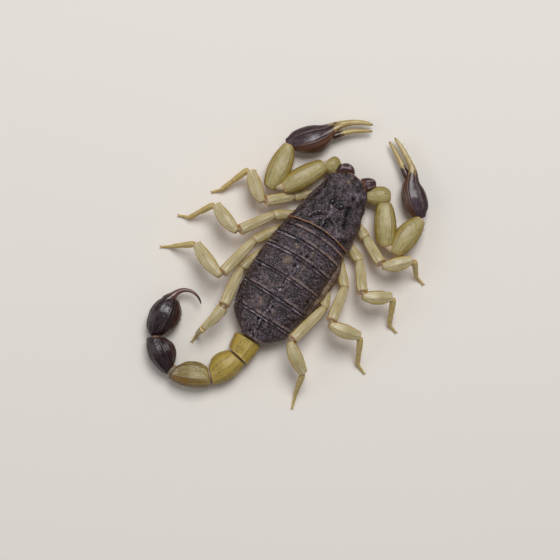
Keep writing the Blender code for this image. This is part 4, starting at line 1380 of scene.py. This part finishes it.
TAIL_PALENESS = (0.3, 0.35, 0.8, 0.3, 0.0)
tail_pairs = zip(tail_spines, tail_spines[1:], TAIL_PALENESS)
sleeves = [sleeve(first, second, 0.62, paleness=pale) for first, second, pale in tail_pairs]

# A plug of skin fills the space between the last back plate and the first tail ring.
WAIST_ENDS = ((0.6, 27.5, 3.2), (0.6, 33.3, 3.7))
WAIST_HALF = (2.6, 2.1)
ahead = Vector((0, 1, 0.05)).normalized()
waist = Spine([point(*end) for end in WAIST_ENDS], (ahead,) * 2, (WAIST_HALF,) * 2)
waist = hollow_tube("sleeve", waist, SLEEVE, 14, 1, 2.2)
even_mark(waist, 0.0)
sleeves.append(waist)
for side in ("left", "right"):
    chain = [arm_ends[side, part] for part in ("trochanter", "femur", "patella", "hand")]
    sleeves += [sleeve(a, b, 0.9) for a, b in zip(chain, chain[1:])]
    for pair in (1, 2, 3, 4):
        chain = [leg_spines[f"leg_{side}_{pair}", part] for part in ("femur", "patella", "tarsus")]
        sleeves += [sleeve(a, b, 0.7, (0.96, 0.08), 0.6) for a, b in zip(chain, chain[1:])]
skin = joined("body_skin", [skin, *sleeves])
settle(skin, skin_material(), "joint_skin", *FLESH)


# Bristles: fine stiff sense hairs, thinly spread over the limbs, the hands and the end of the
# tail, each a short tapered spike that leans toward the tip of its limb. COAT gives each
# piece's name, its number of bristles and their length.
def bristle_material():
    """Amber chitin, drawn a little thicker than the real hairs so that they show."""
    material, tree = blank_material("amber bristle")
    patchy = readings(tree, (("patchy", 3, 2, 0.5),))["patchy"]
    colours = {"Factor": patchy, 6: linear("5A3A1C"), 7: linear("9A7A48")}
    colour = add(tree, "ShaderNodeMix", colours, data_type="RGBA").outputs[2]
    end_in_shader(tree, {"Base Color": colour, "Roughness": 0.4, "IOR": 1.55})
    return material


BRISTLE_HALF = 0.022
BRISTLE_SIDES = 3
BRISTLE_STEPS = ((-0.05, 1.0), (0.55, 0.7))  # shares of its length and of its half width
BRISTLE_DROOP = (0.06, 0.12)  # share of its length that it droops in the middle and at its tip
BRISTLE_LOWEST = 0.35
BRISTLE_SPAN = (0.041, 0.969)  # the share of each limb that bears them
LIMB_STEPS = 1e4  # how many places are told apart along a limb
PATCH = 0.003  # of the unwrap, across each bristle's own place on it
COAT = [(f"tail_ring_{n}", 26, 0.6) for n in (2, 3, 4, 5)] + [("telson_bulb", 60, 0.7)]
for side in ("left", "right"):
    COAT += [(f"arm_{side}_femur_shell", 46, 0.75), (f"arm_{side}_patella_shell", 46, 0.75),
             (f"arm_{side}_hand_shell", 70, 0.65), (f"arm_{side}_movable_finger_shell", 24, 0.45),
             (f"arm_{side}_trochanter_shell", 14, 0.6), (f"chelicera_{side}_shell", 18, 0.4)]
    for pair in (1, 2, 3, 4):
        COAT += [(f"leg_{side}_{pair}_femur_shell", 26, 0.55),
                 (f"leg_{side}_{pair}_patella_shell", 26, 0.6),
                 (f"leg_{side}_{pair}_tarsus_shell", 44, 0.5)]
CELLS = math.ceil(math.sqrt(len(COAT)))

draw = random.Random(7)
points, faces, places_on_map = [], [], []
for host, (name, count, length) in enumerate(COAT):
    mesh = bpy.data.objects[name].data
    limb = read(mesh.attributes["limb"].data, "vector")
    # An extruded mesh isn't numbered the same way in each run, so its points are drawn in the
    # order of their place on the limb.
    steps = np.floor(limb * LIMB_STEPS + 0.37)
    outward = np.abs(read(mesh.vertices, "co")[:, 0])
    order = np.lexsort((outward, steps[:, 2], steps[:, 1], steps[:, 0]))
    tip = mesh.vertices[order[-1]].co / MM
    corner = np.array((host % CELLS, host // CELLS)) / CELLS
    for _ in range(count):
        vert = mesh.vertices[order[draw.randrange(len(order))]]
        along, across, lift = (float(value) for value in limb[vert.index])
        root, out = vert.co / MM, vert.normal.copy()
        if root.z < BRISTLE_LOWEST or not BRISTLE_SPAN[0] < along < BRISTLE_SPAN[1]:
            draw.random()
            continue
        tip_side = tip - root
        lean = (tip_side - out * tip_side.dot(out)).normalized() * draw.uniform(0.5, 1.1)
        way = (out + lean + Vector((0, 0, draw.uniform(-0.1, 0.25)))).normalized()
        side_way = way.orthogonal().normalized()
        other = way.cross(side_way)
        long = length * draw.uniform(0.6, 1.3)
        spot = corner + np.array((along, math.atan2(across, lift) / (2 * math.pi) + 0.5)) * 0.96 / CELLS
        base = len(points)
        for step, half in BRISTLE_STEPS:
            for k in range(BRISTLE_SIDES):
                angle = 2 * math.pi * k / BRISTLE_SIDES
                reach = (side_way * math.cos(angle) + other * math.sin(angle)) * BRISTLE_HALF * half
                droop = Vector((0, 0, BRISTLE_DROOP[0] * step * long))
                points.append((root + way * step * long + reach - droop) * MM)
                turned = np.array((math.cos(angle), math.sin(angle)))
                places_on_map.append(spot + PATCH / 2 * turned * half)
        points.append((root + way * long - Vector((0, 0, BRISTLE_DROOP[1] * long))) * MM)
        places_on_map.append(spot)
        for k in range(BRISTLE_SIDES):
            after = (k + 1) % BRISTLE_SIDES
            upper = base + BRISTLE_SIDES
            faces.append((base + k, base + after, upper + after, upper + k))
            faces.append((upper + k, upper + after, upper + BRISTLE_SIDES))
        faces.append(tuple(base + k for k in reversed(range(BRISTLE_SIDES))))
mesh = bpy.data.meshes.new("bristles")
mesh.from_pydata(points, [], faces)
layer = mesh.uv_layers.new(name="OFBake")
spots = np.array([places_on_map[loop.vertex_index] for loop in mesh.loops], np.float32)
layer.data.foreach_set("uv", spots.ravel())
mesh.shade_smooth()
bristles = bpy.data.objects.new("bristles", mesh)
bpy.context.scene.collection.objects.link(bristles)
settle(bristles, bristle_material(), "amber_shell")


# The box of the imported solids, in m.
low, high = cad_box
